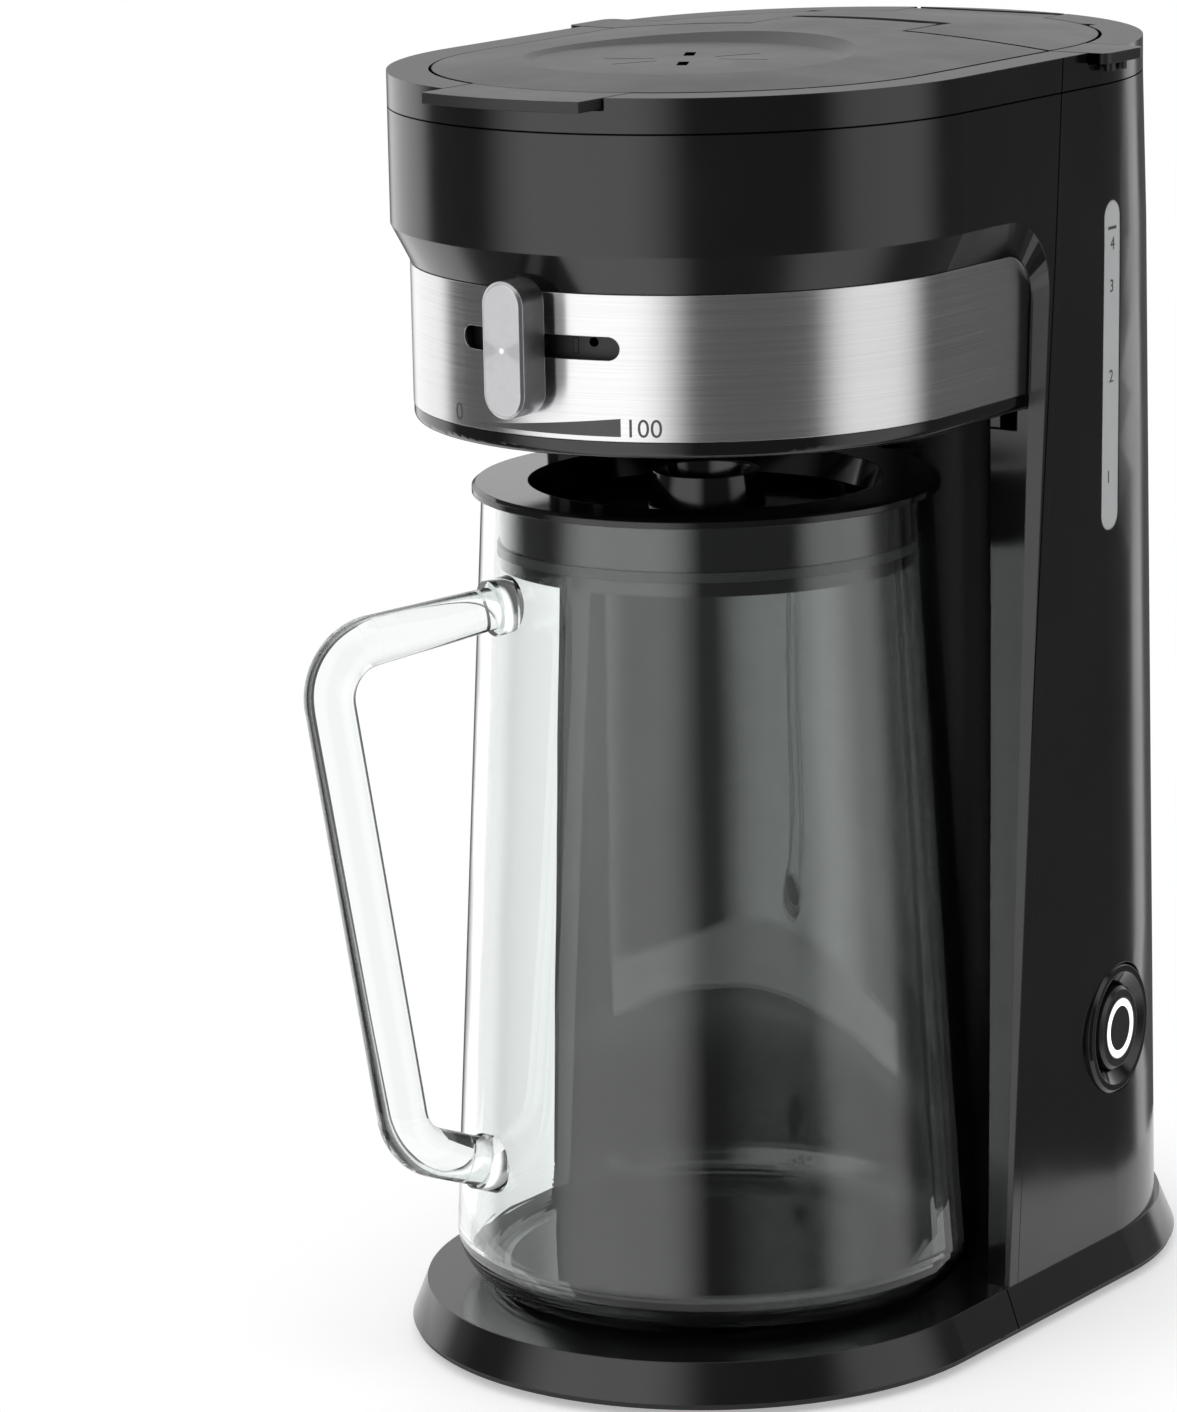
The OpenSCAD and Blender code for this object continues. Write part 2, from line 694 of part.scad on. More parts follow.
module shower_head() {
    z0 = deck_z - 0.4;
    arm_z = deck_z + 0.6;
    turn = atan2(port_y, -hose_x);
    reach = norm([hose_x, port_y]);
    color("#1f1f21") place() difference() {
        union() {
            translate([0, 0, z0]) cylinder(r = 32, h = lid_ceiling - z0);
            rotate([0, 0, turn]) translate([0, -5, arm_z]) cube([reach - 2, 10, lid_ceiling - arm_z]);
            translate([-hose_x, port_y, arm_z]) cylinder(r = 5.6, h = lid_ceiling - arm_z);
        }
        translate([0, 0, z0 + 1.4]) cylinder(r = 30, h = 1.8);
        rotate([0, 0, turn]) translate([0, -3, arm_z + 0.9]) cube([reach - 2, 6, 1.8]);
        translate([-hose_x, port_y, arm_z - 1]) cylinder(r = 2.5, h = 3);
        for (ring = [[6, 8], [12, 17], [18, 26]], i = [0 : ring[0] - 1])
            rotate([0, 0, 360 * i / ring[0]]) translate([ring[1], 0, z0 - 1]) cylinder(r = 1, h = 3, $fn = 16);
    }
}

module shower_seal() {
    color("#7a2f22") place() translate([-hose_x, port_y, deck_z]) difference() {
        cylinder(r1 = 4.6, r2 = 3.9, h = 0.5);
        translate([0, 0, -1]) cylinder(r = 2.5, h = 3);
    }
}

module tank_lid() {
    r = lid_r - lid_gap;
    y0 = part_y + 0.5;
    // The rear arc stands a little forward, so that its edge clears the rim as the lid turns
    y1 = rear_y - 0.5;
    tab_x = body_r + side_tab_x;
    color("#2b2b2c") place() difference() {
        union() {
            along(y0, y1) { crown_half(); mirror([1, 0]) crown_half(); }
            translate([0, y1, 0]) rotate_extrude(angle = 180) crown_half();
            // Finger tabs over both side rims
            for (s = [-1, 1]) translate([0, 0, rim_z - tab_t]) linear_extrude(tab_t) {
                translate([s > 0 ? r - 3 : -tab_x, y0 + 3]) square([tab_x - r + 3, side_tab_y - 6]);
                translate([s > 0 ? r - 3 : -tab_x + 3, y0]) square([tab_x - r, side_tab_y]);
                for (v = [3, side_tab_y - 3]) translate([s * (tab_x - 3), y0 + v]) circle(3);
            }
            for (s = [-1, 1], v = [7, 13]) translate([s * (body_r + 2.2), y0 + v, rim_z - tab_t - 2.4]) cylinder(r = 1.5, h = 3);
            // Hinge tongue into the rear rim
            translate([-tongue_w / 2, tank_hinge_y - 16, tank_hinge_z - 0.4]) cube([tongue_w, 16, tank_hinge_r + 0.4]);
            translate([-tongue_w / 2, tank_hinge_y, tank_hinge_z]) rotate([0, 90, 0]) cylinder(r = tank_hinge_r, h = tongue_w);
        }
        // Notch that the front lid's tongue fills
        translate([-tongue_w / 2 - 0.6, 0, 0]) cube([tongue_w + 1.2, brew_hinge_y + brew_barrel_r + 0.8, 400]);
        // Room over the front hinge's ears
        translate([-tongue_w / 2 - ear_w - 1.2, y0 + 6, lid_z - 1]) cube([tongue_w + 2 * ear_w + 2.4, 26, brew_hinge_z + ear_r + 0.4 - lid_z + 1]);
        // Hollow underside
        translate([-r + 4, y0 + 3, lid_z - 1]) cube([2 * r - 8, rear_y - y0 - 3, lid_ceiling - lid_z + 1]);
        translate([0, rear_y, lid_z - 1]) intersection() {
            cylinder(r = r - 4, h = lid_ceiling - lid_z + 1);
            translate([-100, -0.01, 0]) cube([200, tank_hinge_y - 8 - rear_y, 20]);
        }
        translate([-60, tank_hinge_y, tank_hinge_z]) rotate([0, 90, 0]) cylinder(r = pin_r + pin_play, h = 120);
    }
}

module tank_lid_pin() {
    half = tongue_w / 2 + 0.4 + 3.4;
    color("silver") place() translate([-half, tank_hinge_y, tank_hinge_z]) rotate([0, 90, 0]) cylinder(r = pin_r, h = 2 * half);
}

module top_frame() {
    color("#1d1d1e") place() difference() {
        union() {
            difference() {
                translate([0, 0, seam_z]) linear_extrude(frame_h) stadium(body_r, 0, rear_y);
                translate([0, 0, deck_z]) linear_extrude(20) stadium(lid_r, 0, rear_y);
                // Open below the deck
                translate([0, 0, seam_z - 1]) linear_extrude(deck_z - deck_t - seam_z + 1) stadium(body_r - wall, 0, rear_y);
            }
            // Ears of the front lid's hinge
            for (s = [-1, 1]) translate([s > 0 ? tongue_w / 2 + 0.6 : -tongue_w / 2 - 0.6 - ear_w, brew_hinge_y, 0]) {
                translate([0, 0, brew_hinge_z]) rotate([0, 90, 0]) cylinder(r = ear_r, h = ear_w);
                translate([0, -ear_r, deck_z - 1]) cube([ear_w, 2 * ear_r, brew_hinge_z - deck_z + 1]);
            }
        }
        // Basket seat
        translate([0, 0, seam_z - 5]) cylinder(r = basket_hole_r, h = 30);
        translate([0, 0, deck_z - 1.5]) cylinder(r = basket_flange_r + 0.3, h = 20);
        // Tank mouth
        translate([-46, brew_hinge_y + 14, deck_z - deck_t - 1]) cube([92, 32, 10]);
        // Slot under the front lid's barrel
        translate([-tongue_w / 2 - 0.5, brew_hinge_y - 6.6, seam_z - 1]) cube([tongue_w + 1, 13.2, 5 + frame_h]);
        // Notches under the tabs and round the rear hinge
        translate([-24.6, -100, rim_z - tab_t - 0.3]) cube([49.2, 60, 10]);
        for (s = [-1, 1]) translate([s > 0 ? lid_r - 2 : -120, part_y - 0.2, rim_z - tab_t - 0.3]) cube([122 - lid_r, side_tab_y + 1, 10]);
        translate([-tongue_w / 2 - 0.4, rear_y + 50, tank_hinge_z - tank_hinge_r - 0.3]) cube([tongue_w + 0.8, tank_hinge_y + tank_hinge_r + 0.6 - rear_y - 50, 20]);
        for (p = [[brew_hinge_y, brew_hinge_z, tongue_w / 2 + 0.6 + ear_w], [tank_hinge_y, tank_hinge_z, tongue_w / 2 + 3.8]])
            translate([-p[2], p[0], p[1]]) rotate([0, 90, 0]) cylinder(r = pin_r, h = 2 * p[2]);
        // Passage of the riser
        translate([-hose_x, port_y, seam_z - 5]) cylinder(r = hose_r + 0.1, h = 20);
    }
}

module tank_form(inset, front_r, z0) {
    intersection() {
        column(wall + tank_gap + inset, 62);
        difference() {
            translate([-100, 62, z0]) cube([200, 140, deck_z - deck_t - z0]);
            translate([0, jug_y, z0 - 1]) cylinder(r = front_r, h = 300);
        }
    }
}

module water_tank() {
    color([0.75, 0.78, 0.8, 0.6]) place() difference() {
        union() {
            tank_form(0, tank_front_r, tank_floor);
            translate([hose_x, hose_y, tank_floor - 9]) cylinder(r = 6, h = 10);
        }
        intersection() {
            tank_form(tank_wall, tank_front_r + tank_wall, tank_floor + 2);
            translate([-100, 64, 0]) cube([200, 200, 400]);
        }
        translate([hose_x, hose_y, tank_floor - 10]) cylinder(r = hose_r, h = 7);
        translate([hose_x, hose_y, tank_floor - 10]) cylinder(r = hose_bore, h = 15);
    }
}

module window_slot(play) {
    r = window_w / 2 + play;
    z1 = window_top - window_w / 2;
    z0 = window_top - window_h + window_w / 2;
    across(40, 120) {
        for (z = [z0, z1]) translate([window_y, z]) circle(r);
        translate([window_y - r, z0]) square([2 * r, z1 - z0]);
    }
}

module water_window() {
    color([0.85, 0.88, 0.9, 0.6]) place() intersection() {
        window_slot(0);
        difference() {
            column(0.15);
            column(wall + tank_gap - 0.1);
        }
    }
}

// Along the button's axis, from where it meets the column's outer face
module from_side(x) {
    translate([bezel_x, button_y, button_z]) rotate([0, 0, button_turn])
        translate([x, 0, 0]) rotate([0, 90, 0]) children();
}

module power_button() {
    color("#202022") place() difference() {
        union() {
            from_side(-7) cylinder(r = button_r, h = 6.6);
            from_side(-0.4) cylinder(r1 = button_r, r2 = button_r - 1, h = 0.8);
            from_side(-9) cylinder(r = 3, h = 3);
            from_side(-7) cylinder(r = button_r + 1.4, h = 1.2);
        }
        from_side(-1.2) difference() {
            cylinder(r = 9.05, h = 4);
            translate([0, 0, -1]) cylinder(r = 6.15, h = 6);
        }
    }
}

module light_ring() {
    color("white") place() from_side(-1.2) difference() {
        cylinder(r = 9, h = 1.7);
        translate([0, 0, -1]) cylinder(r = 6.2, h = 4);
    }
}

module button_bezel() {
    color("#151516") place() difference() {
        union() {
            from_side(-5.4) cylinder(r = bezel_r, h = 5);
            from_side(-0.4) cylinder(r1 = bezel_r, r2 = bezel_r - 0.8, h = 0.8);
            // Legs that carry the circuit board
            for (s = [-1, 1]) from_side(-20) translate([0, s * 14.5, 0]) cylinder(r = 2.4, h = 16);
        }
        from_side(-8) cylinder(r = button_r + run_gap, h = 20);
        from_side(-2.6) cylinder(r1 = button_r + run_gap, r2 = bezel_r - 2.2, h = 3.2);
        from_side(-9) cylinder(r = button_r + 1.4 + run_gap, h = 3.6);
        for (s = [-1, 1]) from_side(-21) translate([0, s * 14.5, 0]) cylinder(r = 1.2, h = 9);
    }
}

module button_switch() {
    color("#303034") place() {
        from_side(-20) translate([-6, -6, 0]) cube([12, 12, 7]);
        from_side(-13) cylinder(r = 2, h = 4 - button_travel - run_gap);
    }
}

module control_board() {
    color("#2f6b3f") place() difference() {
        union() {
            from_side(-21.6) translate([-20, -19, 0]) cube([40, 38, 1.6]);
            for (v = [-14, -2, 10]) from_side(-27) translate([v, -15, 0]) cube([8, 9, 5.4]);
        }
        for (s = [-1, 1]) from_side(-30) translate([0, s * 14.5, 0]) cylinder(r = 1.2, h = 20);
    }
}

// Hose in the plane x = const through (y, z) points
module hose(x, path) {
    translate([x, 0, 0]) rotate([0, 0, 90]) difference() {
        rod(path, hose_turn, hose_r);
        rod([for (i = [0 : len(path) - 1]) i == 0 ? path[0] - 0.01 * (path[1] - path[0]) :
            i == len(path) - 1 ? path[i] + 0.01 * (path[i] - path[i - 1]) : path[i]], hose_turn, hose_bore);
    }
}

module inlet_hose() {
    color("#d8d8d4") place() {
        hose(hose_x, [[hose_y, base_z + 60], [hose_y, heater_z], [heater_y + 3, heater_z]]);
        translate([hose_x, hose_y, base_z + 84]) difference() {
            cylinder(r = hose_r, h = tank_floor - 3 - base_z - 84);
            translate([0, 0, -1]) cylinder(r = hose_bore, h = 100);
        }
    }
}

module check_valve() {
    color("#dcdcd8") place() translate([hose_x, hose_y, base_z + 60]) difference() {
        union() {
            cylinder(r = 5, h = 24);
            translate([0, 0, 5]) cylinder(r = 7, h = 14);
        }
        translate([0, 0, -1]) cylinder(r = 2, h = 26);
    }
}

module heater() {
    bend = hose_x;
    color("#9b9ca0") place() translate([0, heater_y + 3, heater_z]) {
        difference() {
            union() {
                rotate_extrude(angle = 180) {
                    translate([bend, 0]) circle(6);
                    translate([bend - 2, 0]) square([4, 10]);
                    translate([bend, 10]) circle(4.4);
                }
            }
            rotate([0, 0, -1]) rotate_extrude(angle = 182) translate([bend, 0]) circle(3.2);
        }
        // Terminal of the element at each end of its sheath
        for (s = [-1, 1]) translate([s * bend, 0, 10]) rotate([90, 0, 0]) cylinder(r = 1.4, h = 9);
    }
}

module heater_bracket() {
    z0 = base_z;
    color("#8f9094") place() {
        for (s = [-1, 1]) translate([s * 31, heater_y + 3 + 31, z0]) {
            difference() {
                translate([s > 0 ? -13 : -7, -13, 0]) cube([20, 20, 1.2]);
                translate([-s * 9, -9, -1]) cylinder(r = 1.7, h = 4);
            }
            translate([-4, -4, 1.2]) cube([8, 8, heater_z - 6.4 - z0 - 1.2 + 0.3]);
        }
    }
}

module bracket_screws() {
    color("silver") place() for (s = [-1, 1]) translate([s * 22, heater_y + 25, base_z + 1.2]) {
        cylinder(r = 3, h = 1.4);
        translate([0, 0, -3.7]) cylinder(r = 1.5, h = 4);
    }
}

module thermostat() {
    color("#c8c3b8") place() translate([0, heater_y + 3 + hose_x, heater_z + 14.5]) {
        cylinder(r = 7, h = 6);
        translate([0, 0, 6]) cylinder(r = 5, h = 3);
        for (s = [-1, 1]) translate([s * 5 - 1.5, -0.4, 8]) cube([3, 0.8, 6]);
    }
}

module thermal_fuse() {
    a = 50;
    color("#e8e4da") place() translate([0, heater_y + 3, heater_z]) rotate([0, 0, a])
        translate([hose_x - 9.2, 0, 0]) rotate([90, 0, 0]) translate([0, 0, -9]) cylinder(r = 2.2, h = 18);
}

module riser_hose() {
    color("#d8d8d4") place() hose(-hose_x, [[heater_y + 3, heater_z], [riser_y, heater_z], [riser_y, seam_z - 38],
        [port_y, seam_z - 38 + riser_y - port_y], [port_y, deck_z]]);
}

module cord_grommet() {
    y = rear_low_y + foot_r - 1.8;
    color("#141414") place() translate([0, y, base_z + 18]) rotate([-90, 0, 0]) difference() {
        union() {
            translate([0, 0, -3]) cylinder(r = 5.9, h = 4.8);
            translate([0, 0, 1.8]) cylinder(r1 = 8, r2 = 7, h = 1.6);
        }
        translate([0, 0, -7]) cylinder(r = 3.4, h = 12);
    }
}

module jug_glass() {
    color([0.85, 0.9, 0.92, 0.4]) place() translate([0, jug_y, 0]) difference() {
        union() {
            rotate_extrude() jug_outline(0, base_z);
            pour_lip(12, jug_top);
        }
        rotate_extrude() jug_outline(glass_t, base_z + glass_floor);
        translate([0, 0, jug_top - 0.01]) cylinder(r = jug_mouth_r - glass_t, h = 2);
        pour_lip(12 - glass_t, jug_top + 1);
    }
}

handle_path = [[50, base_z + 191.5], [handle_reach, base_z + 184], [94.5, base_z + 49.5], [56, base_z + 36]];

// End leg of the handle with a ring where it is fused to the glass, cut to the glass's side
module handle_end(i, from, r0, r1) {
    d = handle_path[i + 1] - handle_path[i];
    difference() {
        union() {
            rod_leg(handle_path, i, 14, r0, r1);
            translate([handle_path[i][0], 0, handle_path[i][1]]) rotate([0, 90 - atan2(d[1], d[0]), 0])
                translate([0, 0, from]) cylinder(r = rod_r + 0.8, h = 9);
        }
        translate([0, 0, base_z + jug_foot_r])
            cylinder(r1 = jug_belly_r + 0.05, r2 = jug_mouth_r + 0.05, h = jug_h - jug_foot_r);
    }
}

module jug_handle() {
    color([0.9, 0.94, 0.95, 0.4]) place() translate([0, jug_y, 0]) rotate([0, 0, -90 - handle_turn]) {
        handle_end(0, 7, rod_r - 1.4, rod_r);
        rod_bend(handle_path, 1, 14, rod_r);
        rod_leg(handle_path, 1, 14, rod_r, rod_r);
        rod_bend(handle_path, 2, 14, rod_r);
        handle_end(2, 22, rod_r, rod_r);
    }
}

// Beak of the lid over the pouring lip
module lid_beak(r, grow) {
    rotate([0, 0, 90 - handle_turn]) {
        polygon([[20, -18 - grow], [r - 3, -4 - grow], [r - 3, 4 + grow], [20, 18 + grow]]);
        translate([r - 4, 0]) circle(4 + grow);
    }
}

module jug_lid() {
    z1 = lid_flange_z + lid_flange_h;
    floor_z = z1 - lid_dish_d;
    color("#161617") place() translate([0, jug_y, 0]) difference() {
        union() {
            translate([0, 0, lid_flange_z]) cylinder(r = lid_flange_r, h = lid_flange_h - 0.8);
            translate([0, 0, z1 - 0.8]) cylinder(r1 = lid_flange_r, r2 = lid_flange_r - 1, h = 0.8);
            translate([0, 0, lid_flange_z]) linear_extrude(lid_flange_h) lid_beak(lid_flange_r + 5, 0);
            translate([0, 0, jug_top - 18.5]) cylinder(r = lid_skirt_r, h = 19);
        }
        // Dish in the top, and the hollow below its floor
        translate([0, 0, floor_z]) cylinder(r1 = lid_dish_r - 2, r2 = lid_dish_r + 0.4, h = lid_dish_d + 0.01);
        translate([0, 0, jug_top - 20]) cylinder(r = lid_skirt_r - 2, h = floor_z - 2 - jug_top + 20);
        // Pouring gap in the skirt
        rotate([0, 0, 90 - handle_turn]) translate([lid_skirt_r - 6, -12, jug_top - 30]) cube([20, 24, 28]);
        translate([0, 0, floor_z - 5]) cylinder(r = 5, h = 20);
        // Groove of the seal
        translate([0, 0, jug_top - 15]) difference() {
            cylinder(r = 80, h = 3);
            translate([0, 0, -1]) cylinder(r = lid_skirt_r - 1, h = 5);
        }
    }
    // Raised collar that catches the stream
    color("#161617") place() translate([0, jug_y, floor_z - 0.01]) difference() {
        cylinder(r1 = 15.5, r2 = 14, h = collar_h);
        translate([0, 0, 2]) cylinder(r1 = 11, r2 = 12.4, h = collar_h);
        translate([0, 0, -1]) cylinder(r = 5, h = 20);
    }
}

module jug_lid_seal() {
    r0 = lid_skirt_r - 1;
    r1 = jug_mouth_r - glass_t - run_gap;
    color("#3a3a3c") place() translate([0, jug_y, 0]) difference() {
        translate([0, 0, jug_top - 14.8]) cylinder(r = r1, h = 2.6);
        translate([0, 0, jug_top - 16]) cylinder(r = r0, h = 5);
        rotate([0, 0, 90 - handle_turn]) translate([lid_skirt_r - 6, -12, jug_top - 30]) cube([20, 24, 28]);
    }
}

base_housing();
base_bottom_cover();
rubber_feet();
base_screws();
front_housing();
rear_housing();
top_frame();
head_underside();
steel_band();
slider_knob();
slider_carriage();
flow_shutter();
brew_basket();
mesh_filter();
drip_nozzle();
brew_lid();
brew_lid_arm();
brew_lid_pin();
shower_head();
shower_seal();
tank_lid();
tank_lid_pin();
water_tank();
water_window();
power_button();
light_ring();
button_bezel();
button_switch();
control_board();
check_valve();
inlet_hose();
heater();
heater_bracket();
bracket_screws();
thermostat();
thermal_fuse();
riser_hose();
cord_grommet();
jug_glass();
jug_handle();
jug_lid();
jug_lid_seal();
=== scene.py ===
import bpy, bmesh, json, math
from mathutils import Vector, Matrix


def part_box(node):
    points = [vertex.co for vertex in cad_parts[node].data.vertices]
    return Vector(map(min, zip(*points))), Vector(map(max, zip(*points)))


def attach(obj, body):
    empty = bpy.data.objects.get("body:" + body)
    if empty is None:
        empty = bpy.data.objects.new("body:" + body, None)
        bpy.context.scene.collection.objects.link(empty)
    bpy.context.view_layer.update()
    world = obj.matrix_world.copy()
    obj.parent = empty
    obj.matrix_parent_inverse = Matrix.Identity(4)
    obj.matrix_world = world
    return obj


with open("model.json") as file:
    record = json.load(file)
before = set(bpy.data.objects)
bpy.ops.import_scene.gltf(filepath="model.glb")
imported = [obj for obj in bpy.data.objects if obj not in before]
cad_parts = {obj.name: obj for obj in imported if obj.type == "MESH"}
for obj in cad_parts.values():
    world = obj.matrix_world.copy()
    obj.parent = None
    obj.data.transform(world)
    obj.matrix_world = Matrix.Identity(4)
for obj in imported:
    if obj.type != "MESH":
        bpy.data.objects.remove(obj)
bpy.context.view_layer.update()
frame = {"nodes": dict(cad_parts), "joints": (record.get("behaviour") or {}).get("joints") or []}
part = frame["nodes"]
scene = bpy.context.scene
scene.view_settings.view_transform = "Standard"

# The view
# A long lens a little above the lids, about 36 degrees round to the power button's side.
# It aims beside the jug, so that the handle comes into the picture on the left.
turn, tilt, roll = math.radians(35.83), math.radians(12.698), math.radians(-1.1955)
aim = Vector((-0.0541, -0.00756, 0.15886))
distance = 1.54389
away = Vector((math.sin(turn) * math.cos(tilt), -math.cos(turn) * math.cos(tilt), math.sin(tilt)))
level = Vector((math.cos(turn), math.sin(turn), 0))
upright = away.cross(level)
lens = bpy.data.cameras.new("long_lens")
lens.sensor_width = 36
lens.lens = 143.75
lens.clip_start, lens.clip_end = 0.05, 60
view = bpy.data.objects.new("view", lens)
scene.collection.objects.link(view)
axes = Matrix((
    level * math.cos(roll) + upright * math.sin(roll),
    upright * math.cos(roll) - level * math.sin(roll),
    away,
)).transposed().to_4x4()
view.matrix_world = Matrix.Translation(aim + away * distance) @ axes
scene.camera = view

# The studio
# A pale table in a pale room. Tall soft boxes stand in front, at the right and behind on both sides,
# with dark cloth between them, which is what draws the upright light and dark bands on black plastic.


def linear(tone):
    """An sRGB hex colour as Blender's linear one."""
    parts = [int(tone[i:i + 2], 16) / 255 for i in (1, 3, 5)]
    return tuple(c / 12.92 if c <= 0.04045 else ((c + 0.055) / 1.055) ** 2.4 for c in parts) + (1,)


def feed(tree, node, given):
    """Sets a node's properties and inputs, or links an input to the output given for it."""
    for key, value in given.items():
        if isinstance(key, str) and key not in node.inputs:
            setattr(node, key, value)
        elif isinstance(value, bpy.types.NodeSocket):
            tree.links.new(value, node.inputs[key])
        else:
            node.inputs[key].default_value = value
    return node


def add(tree, kind, given):
    """Adds a node with its settings and links."""
    return feed(tree, tree.nodes.new("ShaderNode" + kind), given)


def seen_through(tree):
    """The light path, and 1 for a ray that came through glass and was neither mirrored nor scattered."""
    path = add(tree, "LightPath", {}).outputs
    bounced = add(tree, "Math", {
        "operation": "ADD", 0: path["Glossy Depth"], 1: path["Diffuse Depth"]}).outputs[0]
    first = add(tree, "Math", {"operation": "LESS_THAN", 0: bounced, 1: 0.5}).outputs[0]
    through = add(tree, "Math", {
        "operation": "MULTIPLY", 0: first, 1: path["Is Transmission Ray"]}).outputs[0]
    return path, through


room = bpy.data.worlds.new("pale_room")
scene.world = room
room.use_nodes = True
air = room.node_tree
air.nodes.clear()
look = add(air, "TexCoord", {}).outputs["Generated"]
flat = add(air, "VectorMath", {"operation": "MULTIPLY", 0: look, 1: (1, 1, 0)}).outputs[0]
around = add(air, "VectorMath", {"operation": "NORMALIZE", 0: flat}).outputs[0]


def nearness(toward):
    """The cosine of the angle round the room between where a ray goes and a level direction."""
    return add(air, "VectorMath", {"operation": "DOT_PRODUCT", 0: around, 1: toward}).outputs["Value"]


def level_way(heading):
    return math.cos(math.radians(heading)), math.sin(math.radians(heading)), 0


# Direction, half width and soft edge in degrees, and brightness of each box; the second is the dark cloth
soft_boxes = (
    (-100, 14, 30, 1.5), (-40, 10, 18, -0.09), (17, 7, 22, 1.0), (87, 4, 5, 1.1), (163, 15, 12, 1.2))
glow = None
for heading, half, edge, bright in soft_boxes:
    box = add(air, "MapRange", {
        "interpolation_type": "SMOOTHSTEP", "Value": nearness(level_way(heading)),
        "From Min": math.cos(math.radians(half + edge)), "From Max": math.cos(math.radians(half)),
        "To Min": 0.0, "To Max": bright,
    }).outputs[0]
    glow = box if glow is None else add(air, "Math", {"operation": "ADD", 0: glow, 1: box}).outputs[0]

# The rear wall, the dim light of the room itself, and the white ceiling
wall_way, wall_light, dim_light, ceiling_light = (-0.58, 0.81, 0), 0.8, 0.13, 1.05
height = add(air, "SeparateXYZ", {0: look}).outputs["Z"]
wall = add(air, "MapRange", {
    "Value": nearness(wall_way), "From Min": 0.25, "From Max": 0.75, "To Max": wall_light}).outputs[0]
above = add(air, "MapRange", {"Value": height, "From Min": 0.0, "From Max": 0.12, "To Max": 1.0}).outputs[0]
wall_glow = add(air, "Math", {"operation": "MULTIPLY", 0: wall, 1: above}).outputs[0]
glow = add(air, "Math", {"operation": "MAXIMUM", 0: glow, 1: wall_glow}).outputs[0]
glow = add(air, "Math", {"operation": "ADD", 0: glow, 1: dim_light}).outputs[0]
ceiling = add(air, "MapRange", {
    "interpolation_type": "SMOOTHSTEP", "Value": height, "From Min": 0.62, "From Max": 0.85,
}).outputs[0]
glow = add(air, "Mix", {0: ceiling, 2: glow, 3: ceiling_light}).outputs[0]

# Glass shows the white behind it where it looks straight through; what it bends far up or aside, to the
# edges of the white cloth, or mirrors inside, comes from the room itself and draws its dark outlines.
cloth_edges, edge_half, edge_soft = (51, 201), 17, 26
clear = add(air, "MapRange", {
    "Value": height, "From Min": 0.35, "From Max": 0.6, "To Min": 1, "To Max": 0}).outputs[0]
for heading in cloth_edges:
    open_side = add(air, "MapRange", {
        "Value": nearness(level_way(heading)), "From Min": math.cos(math.radians(edge_soft)),
        "From Max": math.cos(math.radians(edge_half)), "To Min": 1, "To Max": 0}).outputs[0]
    clear = add(air, "Math", {"operation": "MULTIPLY", 0: clear, 1: open_side}).outputs[0]
path, through = seen_through(air)
clear = add(air, "Math", {"operation": "MULTIPLY", 0: clear, 1: through}).outputs[0]
seen = add(air, "Math", {"operation": "MAXIMUM", 0: path["Is Camera Ray"], 1: clear}).outputs[0]
strength = add(air, "Mix", {0: seen, 2: glow, 3: 1.0}).outputs[0]
sky = add(air, "Background", {"Color": (1, 1, 1, 1), "Strength": strength})
add(air, "OutputWorld", {"Surface": sky.outputs[0]})

# The table: an oval pale sheet, a hand's width wider than the foot, that runs out into the room's white
table_r, table_width, fade_from, fade_to = 0.21, 0.78, 0.135, 0.205
below_feet, paper_lift = 0.0002, 0.38
mesh = bpy.data.meshes.new("table_top")
sheet = bmesh.new()
bmesh.ops.create_circle(sheet, cap_ends=True, segments=96, radius=table_r)
sheet.to_mesh(mesh)
table = bpy.data.objects.new("table_top", mesh)
table.location = (0, 0, -below_feet)
table.scale = (table_width, 1, 1)
scene.collection.objects.link(table)

# Matt paper, a little brighter to the eye than to the maker, so that it comes near the room's white
paper = bpy.data.materials.new("matt_paper")
paper.use_nodes = True
net = paper.node_tree
net.nodes.clear()
path, through = seen_through(net)
seen = add(net, "Math", {"operation": "MAXIMUM", 0: path["Is Camera Ray"], 1: through}).outputs[0]
seen = add(net, "Math", {"operation": "MAXIMUM", 0: seen, 1: path["Is Glossy Ray"]}).outputs[0]
spot = add(net, "TexCoord", {}).outputs["Object"]
span = add(net, "VectorMath", {"operation": "LENGTH", 0: spot}).outputs["Value"]
fade = add(net, "MapRange", {
    "interpolation_type": "SMOOTHSTEP", "Value": span, "From Min": fade_from, "From Max": fade_to,
}).outputs[0]
matt = add(net, "BsdfDiffuse", {"Color": linear("#e6e6e6")}).outputs[0]
lift = add(net, "Math", {"operation": "MULTIPLY", 0: seen, 1: paper_lift}).outputs[0]
white = add(net, "Emission", {"Color": (1, 1, 1, 1), "Strength": lift}).outputs[0]
near_by = add(net, "AddShader", {0: matt, 1: white}).outputs[0]
plain = add(net, "Emission", {"Color": (1, 1, 1, 1), "Strength": 1.0}).outputs[0]
far_off = add(net, "MixShader", {0: seen, 1: matt, 2: plain}).outputs[0]
blend = add(net, "MixShader", {0: fade, 1: near_by, 2: far_off}).outputs[0]
add(net, "OutputMaterial", {"Surface": blend})
mesh.materials.append(paper)

# The black shells
# Foot, front and rear shell and the frame round the lids: ABS, injection moulded in black against a
# polished tool and clipped together along fine seams. Its gloss drifts a little from patch to patch.


def surface(name):
    """A new material: its node tree, its shader, and the coordinates of the piece it is on."""
    made = bpy.data.materials.new(name)
    made.use_nodes = True
    tree = made.node_tree
    tree.nodes.clear()
    shader = add(tree, "BsdfPrincipled", {})
    add(tree, "OutputMaterial", {"Surface": shader.outputs[0]})
    return made, tree, shader, add(tree, "TexCoord", {}).outputs["Object"]


